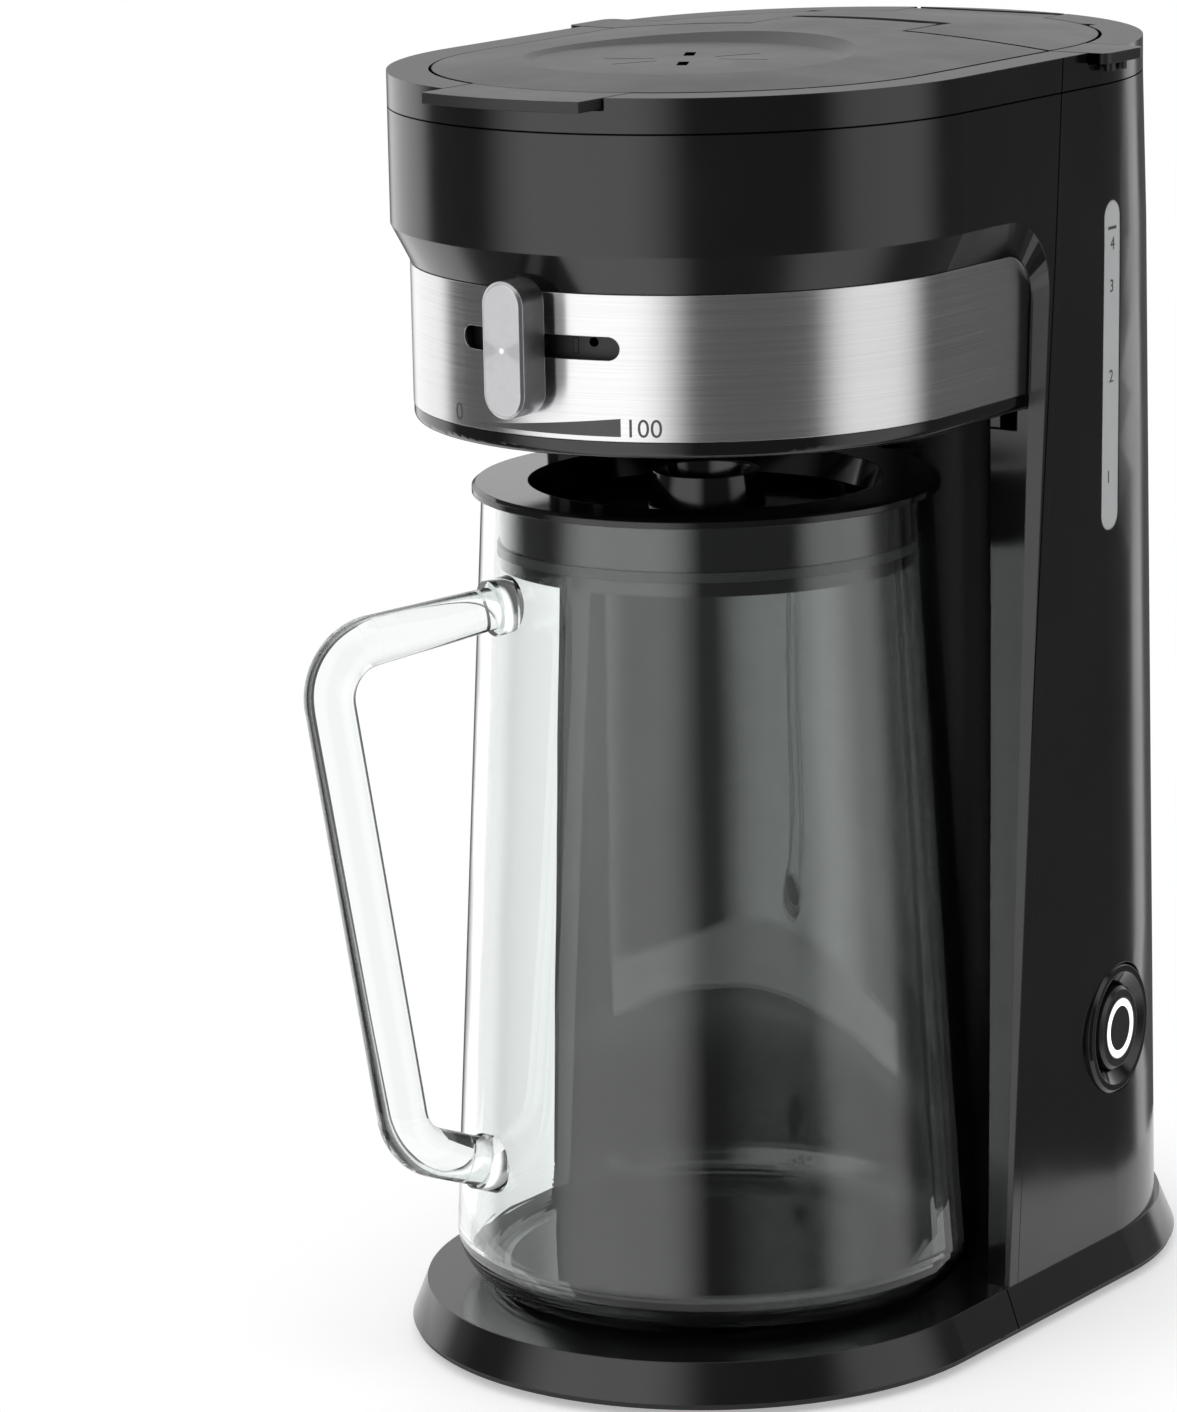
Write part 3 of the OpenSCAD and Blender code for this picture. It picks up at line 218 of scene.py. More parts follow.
def moulded(name, deep, pale, rough, haze, patch, grain, depth, edge, more={}):
    """A moulded piece, with sizes in mm.

    Its colour drifts from deep to pale over patches, and its gloss by haze from rough. It has a fine grain
    of some depth, and broken edges.
    """
    made, tree, shader, place = surface(name)
    cloud = add(tree, "TexNoise", {
        "Vector": place, "Scale": 1000 / patch, "Detail": 4, "Roughness": 0.6}).outputs[0]
    fine = add(tree, "TexNoise", {"Vector": place, "Scale": 1000 / grain, "Detail": 2}).outputs[0]
    tone = add(tree, "Mix", {"data_type": "RGBA", 0: cloud, 6: linear(deep), 7: linear(pale)}).outputs[2]
    gloss = add(tree, "MapRange", {
        "Value": cloud, "From Min": 0.3, "From Max": 0.7, "To Min": rough, "To Max": rough + haze,
    }).outputs[0]
    corner = add(tree, "Bevel", {"samples": 6, "Radius": edge / 1000}).outputs[0]
    skin = add(tree, "Bump", {
        "Strength": 1, "Distance": depth / 1000, "Height": fine, "Normal": corner}).outputs[0]
    feed(tree, shader, {"Base Color": tone, "Roughness": gloss, "Normal": skin, **more})
    return made


def dress(made, body, slot, *names):
    """Gives CAD nodes a material and rides them; slot is not used."""
    for name in names:
        part[name].data.materials.clear()
        part[name].data.materials.append(made)
        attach(part[name], body)


def near_line(tree, value, middle, full, none):
    """1 where a value is within one distance of a middle, fading to 0 at another."""
    off = add(tree, "Math", {"operation": "SUBTRACT", 0: value, 1: middle}).outputs[0]
    off = add(tree, "Math", {"operation": "ABSOLUTE", 0: off}).outputs[0]
    return add(tree, "MapRange", {
        "Value": off, "From Min": full, "From Max": none, "To Min": 1, "To Max": 0}).outputs[0]


def on_strip(tree, value, middle, half):
    """1 where a value is within half a width of a middle, else 0."""
    off = add(tree, "Math", {"operation": "SUBTRACT", 0: value, 1: middle}).outputs[0]
    off = add(tree, "Math", {"operation": "ABSOLUTE", 0: off}).outputs[0]
    return add(tree, "Math", {"operation": "LESS_THAN", 0: off, 1: half}).outputs[0]


def paint_gap_shade(tree, shader, gap_shade):
    """Paints shade: makes a surface nearly black and dull where a mask is 1, as in a gap that no light
    reaches.
    """
    tone = shader.inputs["Base Color"].links[0].from_socket
    tone = add(tree, "Mix", {"data_type": "RGBA", 0: gap_shade, 6: tone, 7: linear("#020202")}).outputs[2]
    gleam = add(tree, "MapRange", {"Value": gap_shade, "To Min": 0.5, "To Max": 0.0}).outputs[0]
    feed(tree, shader, {"Base Color": tone, "Specular IOR Level": gleam})


def leave_edge(tree, shader, flush):
    """Leaves out the broken edge where a mask is 1, because two faces run into each other there."""
    skin = shader.inputs["Normal"].links[0].from_node
    corner = skin.inputs["Normal"].links[0].from_socket
    plain_normal = add(tree, "NewGeometry", {}).outputs["Normal"]
    corner = add(tree, "Mix", {"data_type": "VECTOR", 0: flush, 4: corner, 5: plain_normal}).outputs[1]
    feed(tree, skin, {"Normal": corner})


def corners(name):
    """A node's lowest and highest corner at rest, to a hundredth of a millimetre."""
    return [[round(v, 5) for v in corner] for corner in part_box(name)]


# Near black, glossy enough to show the room's soft boxes, with a faint satin drift
shell = moulded("polished_black_abs", "#0a0a0b", "#111112", rough=0.13, haze=0.07, patch=35, grain=0.5,
                depth=0.0012, edge=0.35, more={"IOR": 1.54})
tree, shader = shell.node_tree, shell.node_tree.nodes["Principled BSDF"]
spot = add(tree, "TexCoord", {})
at = add(tree, "SeparateXYZ", {0: spot.outputs["Object"]}).outputs
facing = add(tree, "SeparateXYZ", {0: spot.outputs["Normal"]}).outputs

# The seam between front and rear shell runs down both sides, and one runs round under the frame:
# painted shade of narrow grooves 0.5 mm wide, drawn here because the shells meet within 0.1 mm
seam_y, knee_z, lean_below, lean_above, side_x = 0.0031, 0.12, 0.0653, 0.0787, 0.03
brim_z = corners("top_frame")[0][2]
climb = add(tree, "Math", {"operation": "SUBTRACT", 0: at["Z"], 1: knee_z}).outputs[0]
lower = add(tree, "Math", {"operation": "MULTIPLY", 0: climb, 1: lean_below}).outputs[0]
upper = add(tree, "Math", {"operation": "MULTIPLY", 0: climb, 1: lean_above}).outputs[0]
lean = add(tree, "Math", {"operation": "MAXIMUM", 0: lower, 1: upper}).outputs[0]
behind_seam = add(tree, "Math", {"operation": "SUBTRACT", 0: at["Y"], 1: lean}).outputs[0]
seam_shade = near_line(tree, behind_seam, seam_y, full=0.00015, none=0.0004)
side = add(tree, "Math", {"operation": "MULTIPLY", 0: at["X"], 1: facing["X"]}).outputs[0]
side = add(tree, "Math", {"operation": "GREATER_THAN", 0: side, 1: side_x}).outputs[0]
seam_shade = add(tree, "Math", {"operation": "MULTIPLY", 0: seam_shade, 1: side}).outputs[0]
brim_shade = near_line(tree, at["Z"], brim_z, full=0.00015, none=0.00035)
# Painted shade along the seams: nearly black and dull
paint_gap_shade(tree, shader, add(tree, "Math", {"operation": "MAXIMUM", 0: seam_shade, 1: brim_shade}).outputs[0])

# On the frame's upward faces the tool was etched like the lids'
flat_top = add(tree, "MapRange", {"Value": facing["Z"], "From Min": 0.8, "From Max": 0.95}).outputs[0]
high = add(tree, "MapRange", {
    "Value": at["Z"], "From Min": brim_z + 0.0003, "From Max": brim_z + 0.0023}).outputs[0]
etched = add(tree, "Math", {"operation": "MULTIPLY", 0: flat_top, 1: high}).outputs[0]
gloss = shader.inputs["Roughness"].links[0].from_socket
gloss = add(tree, "Mix", {0: etched, 2: gloss, 3: 0.4}).outputs[0]
feed(tree, shader, {"Roughness": gloss})

# The drum's side runs into the body with no edge there
drum_end_y = -0.0127
flush = on_strip(tree, at["Y"], drum_end_y, 0.0012)
leave_edge(tree, shader, add(tree, "Math", {"operation": "MULTIPLY", 0: flush, 1: side}).outputs[0])
dress(shell, "maker", "housing_black", "base_housing", "front_housing", "rear_housing", "top_frame")

# The underside of the head
# One glossy moulding with a rounded lip under the steel band, clipped into the drum.
# Piano-black ABS: deeper and shinier than the shells, so that the lip draws one bright line.
lip = moulded("piano_black_abs", "#070708", "#0b0b0c", rough=0.06, haze=0.05, patch=25, grain=0.8,
              depth=0.0006, edge=0.3, more={"IOR": 1.55})
dress(lip, "maker", "gloss_black", "head_underside")

# The lids
# Front lid over the brew basket and rear lid over the tank: ABS with a fine satin grain from an etched
# tool, which turns the room's white into an even dark grey.
satin = moulded("satin_black_abs", "#161617", "#1d1d1e", rough=0.36, haze=0.08, patch=30, grain=0.45,
                depth=0.004, edge=0.4, more={"IOR": 1.5})
tree, shader = satin.node_tree, satin.node_tree.nodes["Principled BSDF"]
spot = add(tree, "TexCoord", {}).outputs["Object"]
at = add(tree, "SeparateXYZ", {0: spot}).outputs

# The gaps round and between the lids and the cuts in the dish are dark, for no light reaches into them.
# The lids' outline is a ring stretched between two centres; the hinge arm breaks it in the middle.
slide = next(joint for joint in frame["joints"] if joint["name"] == "strength_slide")
axis_y, slot_z = slide["pos_m"][1:]
rear_centre_y, gap_y, arm_half = 0.0392, 0.0324, 0.0242
gap_from, gap_dark, gap_pale, gap_to = 0.0684, 0.0688, 0.0692, 0.0694
nearest = add(tree, "Clamp", {"Value": at["Y"], "Min": axis_y, "Max": rear_centre_y}).outputs[0]
past = add(tree, "Math", {"operation": "SUBTRACT", 0: at["Y"], 1: nearest}).outputs[0]
arm = add(tree, "CombineXYZ", {"X": at["X"], "Y": past}).outputs[0]
reach = add(tree, "VectorMath", {"operation": "LENGTH", 0: arm}).outputs["Value"]
inner_edge = add(tree, "MapRange", {"Value": reach, "From Min": gap_from, "From Max": gap_dark}).outputs[0]
outer_edge = add(tree, "MapRange", {
    "Value": reach, "From Min": gap_pale, "From Max": gap_to, "To Min": 1, "To Max": 0}).outputs[0]
outline = add(tree, "Math", {"operation": "MULTIPLY", 0: inner_edge, 1: outer_edge}).outputs[0]
aside = add(tree, "Math", {"operation": "ABSOLUTE", 0: at["X"]}).outputs[0]
beside_arm = add(tree, "Math", {"operation": "GREATER_THAN", 0: aside, 1: arm_half}).outputs[0]
outline = add(tree, "Math", {"operation": "MULTIPLY", 0: outline, 1: beside_arm}).outputs[0]
between_lids = near_line(tree, at["Y"], gap_y, full=0.0007, none=0.001)
between_lids = add(tree, "Math", {"operation": "MULTIPLY", 0: between_lids, 1: beside_arm}).outputs[0]
dark = add(tree, "Math", {"operation": "MAXIMUM", 0: outline, 1: between_lids}).outputs[0]
dish, dish_r, cut_z = (0, -0.0335, 0.3411), 0.03, 0.34105
from_dish = add(tree, "VectorMath", {"operation": "DISTANCE", 0: spot, 1: dish}).outputs["Value"]
in_dish = add(tree, "Math", {"operation": "LESS_THAN", 0: from_dish, 1: dish_r}).outputs[0]
cut = add(tree, "Math", {"operation": "LESS_THAN", 0: at["Z"], 1: cut_z}).outputs[0]
cut = add(tree, "Math", {"operation": "MULTIPLY", 0: cut, 1: in_dish}).outputs[0]
paint_gap_shade(tree, shader, add(tree, "Math", {"operation": "MAXIMUM", 0: dark, 1: cut}).outputs[0])

# The hinge arm is flush with the lid: no edge shows where they meet
arm_y = corners("brew_lid")[1][1]
flush = on_strip(tree, at["Y"], arm_y, 0.0009)
within_arm = add(tree, "Math", {"operation": "LESS_THAN", 0: aside, 1: arm_half - 0.001}).outputs[0]
leave_edge(tree, shader, add(tree, "Math", {"operation": "MULTIPLY", 0: flush, 1: within_arm}).outputs[0])
dress(satin, "front_lid", "lid_black", "brew_lid", "brew_lid_arm")
dress(satin, "rear_lid", "lid_black", "tank_lid")

# The steel band
# A strip of stainless steel bent round the head and brushed along its length before bending.
# The brush lines are 0.05 mm apart on a real one; here they are drawn wider so that they show.
made, tree, shader, place = surface("brushed_stainless_steel")
# How many to a metre: hairs are 70 mm long and 0.3 mm wide, streaks 110 mm long and 1.4 mm wide
hairs, streaks = (14, 14, 3000), (9, 9, 700)
line = add(tree, "Mapping", {"Vector": place, "Scale": hairs}).outputs[0]
hair = add(tree, "TexNoise", {"Vector": line, "Scale": 1, "Detail": 3, "Roughness": 0.7}).outputs[0]
wide = add(tree, "Mapping", {"Vector": place, "Scale": streaks}).outputs[0]
streak = add(tree, "TexNoise", {"Vector": wide, "Scale": 1, "Detail": 4, "Roughness": 0.6}).outputs[0]
brushed = add(tree, "Mix", {0: 0.3, 2: hair, 3: streak}).outputs[0]
tone = add(tree, "MapRange", {"Value": brushed, "From Min": 0.3, "From Max": 0.7}).outputs[0]
tone = add(tree, "Mix", {"data_type": "RGBA", 0: tone, 6: linear("#c4c4c5"), 7: linear("#d4d4d5")}).outputs[2]
gloss = add(tree, "MapRange", {
    "Value": brushed, "From Min": 0.3, "From Max": 0.7, "To Min": 0.22, "To Max": 0.28}).outputs[0]
rim = add(tree, "Bevel", {"samples": 4, "Radius": 0.0003}).outputs[0]
skin = add(tree, "Bump", {"Strength": 1, "Distance": 0.000006, "Height": hair, "Normal": rim}).outputs[0]
along = add(tree, "Tangent", {"direction_type": "RADIAL", "axis": "Z"}).outputs[0]
feed(tree, shader, {
    "Base Color": tone, "Metallic": 1.0, "Roughness": gloss, "Normal": skin, "Tangent": along,
    "Anisotropic": 0.8, "Anisotropic Rotation": 0.25,
})
dress(made, "maker", "steel_band", "steel_band")

# The strength scale
# Pad printed on the band below the slider: a wedge that grows to the right, with a number at each end.
# Dark grey ink 0.04 mm thick, matt beside the steel.
(_, _, band_low), (band_r, _, _) = corners("steel_band")


def ink(name, node, outline, place, inward, thick=0.00004, off=0.00002, deepest=0.02):
    """Lays a flat outline, given as faces of (across, up) points, on a node's surface as a thin layer.

    Place gives the point that each one is dropped from, and inward the direction. The layer stands a
    little off the surface, so that no two faces share one place.
    """
    bm = bmesh.new()
    low, high, walls = {}, {}, set()
    for face in outline:
        keys = [(round(a, 6), round(b, 6)) for a, b in face]
        keys = [key for i, key in enumerate(keys) if key != keys[i - 1]]
        if len(keys) < 3:
            continue
        for i, key in enumerate(keys):
            if key not in low:
                start, aim = place(*key), inward(*key)
                hit, spot, _, _ = part[node].ray_cast(start, aim)
                spot = spot if hit else start + aim * deepest
                low[key] = bm.verts.new(spot - aim * off)
                high[key] = bm.verts.new(spot - aim * (off + thick))
            walls ^= {frozenset((keys[i - 1], key))}
        bm.faces.new([low[key] for key in keys[::-1]])
        bm.faces.new([high[key] for key in keys])
    for a, b in (tuple(wall) for wall in walls):
        bm.faces.new((low[a], low[b], high[b], high[a]))
    bmesh.ops.recalc_face_normals(bm, faces=bm.faces)
    mesh = bpy.data.meshes.new(name)
    bm.to_mesh(mesh)
    bm.free()
    obj = bpy.data.objects.new(name, mesh)
    scene.collection.objects.link(obj)
    return obj


def digits(text, tall):
    """The faces of a number written in the plain built-in type, from its lower left corner, in metres."""
    digit_share = 0.7
    curve = bpy.data.curves.new("number", "FONT")
    curve.body = text
    curve.size = tall / digit_share
    curve.resolution_u = 4
    holder = bpy.data.objects.new("number", curve)
    scene.collection.objects.link(holder)
    bpy.context.view_layer.update()
    flat = holder.evaluated_get(bpy.context.evaluated_depsgraph_get()).to_mesh()
    spots = [v.co.copy() for v in flat.vertices]
    low = min(v.x for v in spots)
    faces = [[(spots[i].x - low, spots[i].y) for i in p.vertices] for p in flat.polygons]
    bpy.data.objects.remove(holder)
    return faces


def on_band(a, b):
    """A point outside the band, a metres round it from its front and b metres up."""
    outside = 0.09
    return Vector((outside * math.sin(a / band_r), axis_y - outside * math.cos(a / band_r), b))


def into_band(a, b):
    return Vector((-math.sin(a / band_r), math.cos(a / band_r), 0))


def round_band(angle):
    """How far round the band an angle in degrees is, in metres."""
    return math.radians(angle) * band_r


# Ink with a fine grain 0.7 mm wide
made, tree, shader, place = surface("pad_printed_grey_ink")
cloud = add(tree, "TexNoise", {"Vector": place, "Scale": 1500, "Detail": 3}).outputs[0]
tone = add(tree, "Mix", {
    "data_type": "RGBA", 0: cloud, 6: linear("#3d3d3f"), 7: linear("#505052")}).outputs[2]
skin = add(tree, "Bump", {"Strength": 1, "Distance": 0.00001, "Height": cloud}).outputs[0]
feed(tree, shader, {"Base Color": tone, "Roughness": 0.5, "Normal": skin})
printed = made

mark_h, mark_z = 0.0046, band_low + 0.0012
wedge_from, wedge_to, wedge_steps = round_band(-16.5), round_band(18.8), 24
wedge = []
for i in range(wedge_steps):
    a, b = (wedge_from + (wedge_to - wedge_from) * k / wedge_steps for k in (i, i + 1))
    up_a, up_b = (mark_h * (v - wedge_from) / (wedge_to - wedge_from) for v in (a, b))
    wedge.append([(a, mark_z), (b, mark_z), (b, mark_z + up_b)] + ([(a, mark_z + up_a)] if up_a > 0 else []))
scale_marks = [ink("strength_wedge", "steel_band", wedge, on_band, into_band)]
for text, left in (("0", round_band(-21.5)), ("100", round_band(20.5))):
    shape = [[(x + left, y + mark_z) for x, y in face] for face in digits(text, mark_h)]
    scale_marks.append(ink("strength_number_" + text, "steel_band", shape, on_band, into_band))
for mark in scale_marks:
    mark.data.materials.append(printed)
    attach(mark, "maker")

# The strength slider
# A zinc die-cast knob, satin plated, its face turned on a lathe so that fine rings run round the slot's
# height; the rings throw the light into the bow-tie that spun metal shows, and that bow-tie is also painted
# into the face's colour.
made, tree, shader, place = surface("satin_plated_zinc")
hub, lathe_ring = (0, 0, slot_z), 0.00035
arm = add(tree, "VectorMath", {"operation": "SUBTRACT", 0: place, 1: hub}).outputs[0]
arm = add(tree, "VectorMath", {"operation": "MULTIPLY", 0: arm, 1: (1, 0, 1)}).outputs[0]
reach = add(tree, "VectorMath", {"operation": "LENGTH", 0: arm}).outputs["Value"]
# Rings 0.35 mm apart, coarser than the real 0.1 mm so that they show
wave = add(tree, "Math", {"operation": "MULTIPLY", 0: reach, 1: 2 * math.pi / lathe_ring}).outputs[0]
wave = add(tree, "Math", {"operation": "SINE", 0: wave}).outputs[0]
facing = add(tree, "SeparateXYZ", {0: add(tree, "TexCoord", {}).outputs["Normal"]}).outputs["Y"]
front = add(tree, "MapRange", {"Value": facing, "From Min": -0.97, "From Max": -0.995}).outputs[0]
rings = add(tree, "Math", {"operation": "MULTIPLY", 0: wave, 1: front}).outputs[0]
around_hub = add(tree, "VectorMath", {"operation": "CROSS_PRODUCT", 0: arm, 1: (0, 1, 0)}).outputs[0]
world_way = add(tree, "VectorTransform", {
    "vector_type": "VECTOR", "convert_from": "OBJECT", "convert_to": "WORLD", "Vector": around_hub,
}).outputs[0]
spun = add(tree, "VectorMath", {"operation": "NORMALIZE", 0: world_way}).outputs[0]
aniso = add(tree, "MapRange", {"Value": front, "To Min": 0.0, "To Max": 0.75}).outputs[0]
# Handling has rubbed it in patches of 2.5 mm
rub = add(tree, "TexNoise", {"Vector": place, "Scale": 1000 / 2.5, "Detail": 4}).outputs[0]
tone = add(tree, "Mix", {"data_type": "RGBA", 0: rub, 6: linear("#b4b4b6"), 7: linear("#c6c6c8")}).outputs[2]
# Painted reflection: a darker fan to each side, where the lathe's fine rings would throw the light away, and
# a painted white highlight point in the middle
side = add(tree, "VectorMath", {"operation": "NORMALIZE", 0: arm}).outputs[0]
side = add(tree, "SeparateXYZ", {0: side}).outputs
painted_bowtie_shade = add(tree, "Math", {"operation": "MULTIPLY", 0: side["Z"], 1: side["Z"]}).outputs[0]
painted_bowtie_shade = add(tree, "MapRange", {
    "interpolation_type": "SMOOTHSTEP", "Value": painted_bowtie_shade,
    "From Min": 0.05, "From Max": 0.3, "To Min": 1.0, "To Max": 0.0}).outputs[0]
shade = add(tree, "MapRange", {
    "interpolation_type": "SMOOTHSTEP", "Value": reach,
    "From Min": 0.0005, "From Max": 0.003, "To Max": 0.35}).outputs[0]
painted_bowtie_shade = add(tree, "Math", {"operation": "MULTIPLY", 0: painted_bowtie_shade, 1: shade}).outputs[0]
painted_bowtie_shade = add(tree, "Math", {"operation": "MULTIPLY", 0: painted_bowtie_shade, 1: front}).outputs[0]
tone = add(tree, "Mix", {"data_type": "RGBA", 0: painted_bowtie_shade, 6: tone, 7: linear("#8c8c8f")}).outputs[2]
# Painted highlight: a white point at the hub
painted_glint = add(tree, "MapRange", {
    "Value": reach, "From Min": 0.0004, "From Max": 0.0009, "To Min": 1, "To Max": 0}).outputs[0]
painted_glint = add(tree, "Math", {"operation": "MULTIPLY", 0: painted_glint, 1: front}).outputs[0]
tone = add(tree, "Mix", {"data_type": "RGBA", 0: painted_glint, 6: tone, 7: linear("#ffffff")}).outputs[2]
gloss = add(tree, "MapRange", {"Value": rub, "To Min": 0.24, "To Max": 0.36}).outputs[0]
rim = add(tree, "Bevel", {"samples": 6, "Radius": 0.0004}).outputs[0]
skin = add(tree, "Bump", {"Strength": 1, "Distance": 0.000004, "Height": rings, "Normal": rim}).outputs[0]
feed(tree, shader, {
    "Base Color": tone, "Metallic": 1.0, "Roughness": gloss, "Normal": skin, "Tangent": spun,
    "Anisotropic": aniso, "Anisotropic Rotation": 0.25,
})
dress(made, "strength_slider", "knob_metal", "slider_knob")

# Basket, filter and their small parts
# The basket hangs in the head with the fine filter in it; the slider turns a shutter round it.
# Basket, carriage, shutter and shower head are black polypropylene, matt and a little waxy.
waxy = moulded("black_polypropylene", "#101011", "#171718", rough=0.38, haze=0.12, patch=14, grain=0.4,
               depth=0.004, edge=0.3, more={"IOR": 1.49})
dress(waxy, "strength_slider", "basket_black", "slider_carriage", "flow_shutter")
dress(waxy, "maker", "basket_black", "brew_basket")
dress(waxy, "front_lid", "basket_black", "shower_head")

# The filter is stainless gauze welded to a rim; wires and holes are drawn 1.2 mm apart so that they show
made, tree, shader, place = surface("stainless_gauze")
wires_round, wire_gap = 240, 0.0012
spoke = add(tree, "VectorMath", {"operation": "SUBTRACT", 0: place, 1: (0, axis_y, 0)}).outputs[0]
spoke = add(tree, "SeparateXYZ", {0: spoke}).outputs
angle = add(tree, "Math", {"operation": "ARCTAN2", 0: spoke["Y"], 1: spoke["X"]}).outputs[0]
weft = add(tree, "Math", {"operation": "MULTIPLY", 0: angle, 1: wires_round}).outputs[0]
weft = add(tree, "Math", {"operation": "SINE", 0: weft}).outputs[0]
warp = add(tree, "Math", {"operation": "MULTIPLY", 0: spoke["Z"], 1: 2 * math.pi / wire_gap}).outputs[0]
warp = add(tree, "Math", {"operation": "SINE", 0: warp}).outputs[0]
wires = add(tree, "Math", {"operation": "MAXIMUM", 0: weft, 1: warp}).outputs[0]
hole = add(tree, "MapRange", {"Value": wires, "From Min": -0.2, "From Max": 0.3}).outputs[0]
tone = add(tree, "Mix", {"data_type": "RGBA", 0: hole, 6: linear("#2b2b2c"), 7: linear("#c2c2c4")}).outputs[2]
skin = add(tree, "Bump", {"Strength": 1, "Distance": 0.0002, "Height": wires}).outputs[0]
feed(tree, shader, {"Base Color": tone, "Metallic": 1.0, "Roughness": 0.35, "Normal": skin})
dress(made, "maker", "steel_mesh", "mesh_filter")

# Nozzle under the basket: soft black silicone, matt
soft_black = moulded("black_silicone", "#161618", "#1e1e20", rough=0.5, haze=0.1, patch=9, grain=0.5,
                     depth=0.003, edge=0.3, more={"IOR": 1.41})
dress(soft_black, "maker", "seal_grey", "drip_nozzle")

# Seal between riser and shower head: brick-red silicone
red_soft = moulded("red_silicone", "#7c3a2a", "#8f4634", rough=0.45, haze=0.1, patch=6, grain=0.5,
                   depth=0.004, edge=0.2, more={"IOR": 1.41})
dress(red_soft, "maker", "seal_red", "shower_seal")

# The lids' hinge pins
# Two plain steel pins pressed into the frame; only their ends show. Ground steel, slightly dull.
# The marks of grinding and wear are 1.1 mm wide.
made, tree, shader, place = surface("ground_steel")
rub = add(tree, "TexNoise", {"Vector": place, "Scale": 900, "Detail": 5}).outputs[0]
tone = add(tree, "Mix", {"data_type": "RGBA", 0: rub, 6: linear("#a9a9ab"), 7: linear("#c9c9cb")}).outputs[2]
gloss = add(tree, "MapRange", {"Value": rub, "To Min": 0.2, "To Max": 0.45}).outputs[0]
skin = add(tree, "Bump", {"Strength": 1, "Distance": 0.00001, "Height": rub}).outputs[0]
feed(tree, shader, {"Base Color": tone, "Metallic": 1.0, "Roughness": gloss, "Normal": skin})
steel = made
dress(steel, "maker", "steel_screw", "brew_lid_pin", "tank_lid_pin")

# The tank and its window
# The tank is clear styrene-acrylonitrile, slightly blue; the rear shell hides all of it but the window.
# Its gloss drifts over patches of 17 mm.
made, tree, shader, place = surface("clear_styrene")
cloud = add(tree, "TexNoise", {"Vector": place, "Scale": 60, "Detail": 3}).outputs[0]
gloss = add(tree, "MapRange", {"Value": cloud, "To Min": 0.03, "To Max": 0.12}).outputs[0]
feed(tree, shader, {
    "Base Color": linear("#e9eef0"), "Roughness": gloss, "IOR": 1.57, "Transmission Weight": 0.9})
dress(made, "maker", "tank_clear", "water_tank")

# The window strip is the same plastic with a frosted back, pale grey against the black shell: its tone
# drifts over patches of 8 mm, and its frost has a grain of 0.4 mm
made, tree, shader, place = surface("frosted_window_strip")
cloud = add(tree, "TexNoise", {"Vector": place, "Scale": 120, "Detail": 4}).outputs[0]
frost = add(tree, "TexNoise", {"Vector": place, "Scale": 1000 / 0.4, "Detail": 2}).outputs[0]
tone = add(tree, "Mix", {
    "data_type": "RGBA", 0: cloud, 6: linear("#cfd0d1"), 7: linear("#d6d7d8")}).outputs[2]
gloss = add(tree, "MapRange", {"Value": cloud, "To Min": 0.28, "To Max": 0.34}).outputs[0]
rim = add(tree, "Bevel", {"samples": 6, "Radius": 0.0006}).outputs[0]
skin = add(tree, "Bump", {"Strength": 1, "Distance": 0.000006, "Height": frost, "Normal": rim}).outputs[0]
feed(tree, shader, {
    "Base Color": tone, "Roughness": gloss, "IOR": 1.57, "Normal": skin,
    "Subsurface Weight": 0.15, "Subsurface Radius": (0.001, 0.001, 0.001), "Subsurface Scale": 1.0,
})
dress(made, "maker", "window_clear", "water_window")

# Its scale is printed on the outside: a short line for the fill height and plain numbers down the strip
window_y = axis_y + 0.0743


def on_side(a, b):
    """A point outside the column, a metres back from the window's middle and b metres up."""
    outside = 0.12
    return Vector((outside, window_y + a, b))


def into_side(a, b):
    return Vector((-1, 0, 0))


line_front, line_back, line_low, line_high = -0.0024, 0.0022, 0.2922, 0.2930
fill_line = [(line_front, line_low), (line_back, line_low), (line_back, line_high), (line_front, line_high)]
number_h, number_left = 0.0034, 0.0011
marks = [ink("fill_line", "water_window", [fill_line], on_side, into_side)]
for text, low in (("4", 0.2868), ("3", 0.2756), ("2", 0.2515), ("1", 0.2245)):
    shape = [[(x - number_left, y + low) for x, y in face] for face in digits(text, number_h)]
    marks.append(ink("fill_number_" + text, "water_window", shape, on_side, into_side))
for mark in marks:
    mark.data.materials.append(printed)
    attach(mark, "maker")

# The power button
# A round key in a dished bezel, both glossy black, with a milky ring between them that is lit white.
dress(lip, "maker", "gloss_black", "button_bezel")
pushed = moulded("key_black_abs", "#19191a", "#202021", rough=0.16, haze=0.06, patch=8, grain=0.5,
                 depth=0.001, edge=0.25, more={"IOR": 1.54})
dress(pushed, "power_key", "gloss_black", "power_button")

# Opal polycarbonate over white lamps: lit along its inner half, it is the one pure white on the maker
made, tree, shader, place = surface("lit_opal_polycarbonate")
lit_to, dark_from = 0.0011, 0.0006
ring_corners = [Vector(corner) for corner in part["light_ring"].bound_box]
middle = sum(ring_corners, Vector()) / len(ring_corners)
ring_r = max(abs(corner.z - middle.z) for corner in ring_corners)
arm = add(tree, "VectorMath", {"operation": "SUBTRACT", 0: place, 1: middle}).outputs[0]
arm = add(tree, "VectorMath", {"operation": "MULTIPLY", 0: arm, 1: (0, 1, 1)}).outputs[0]
reach = add(tree, "VectorMath", {"operation": "LENGTH", 0: arm}).outputs["Value"]
lit = add(tree, "MapRange", {
    "Value": reach, "From Min": ring_r - lit_to, "From Max": ring_r - dark_from,
    "To Min": 1, "To Max": 0}).outputs[0]
cloud = add(tree, "TexNoise", {"Vector": place, "Scale": 300, "Detail": 2}).outputs[0]
shine = add(tree, "MapRange", {"Value": cloud, "To Min": 1.0, "To Max": 1.35}).outputs[0]
shine = add(tree, "Math", {"operation": "MULTIPLY", 0: shine, 1: lit}).outputs[0]
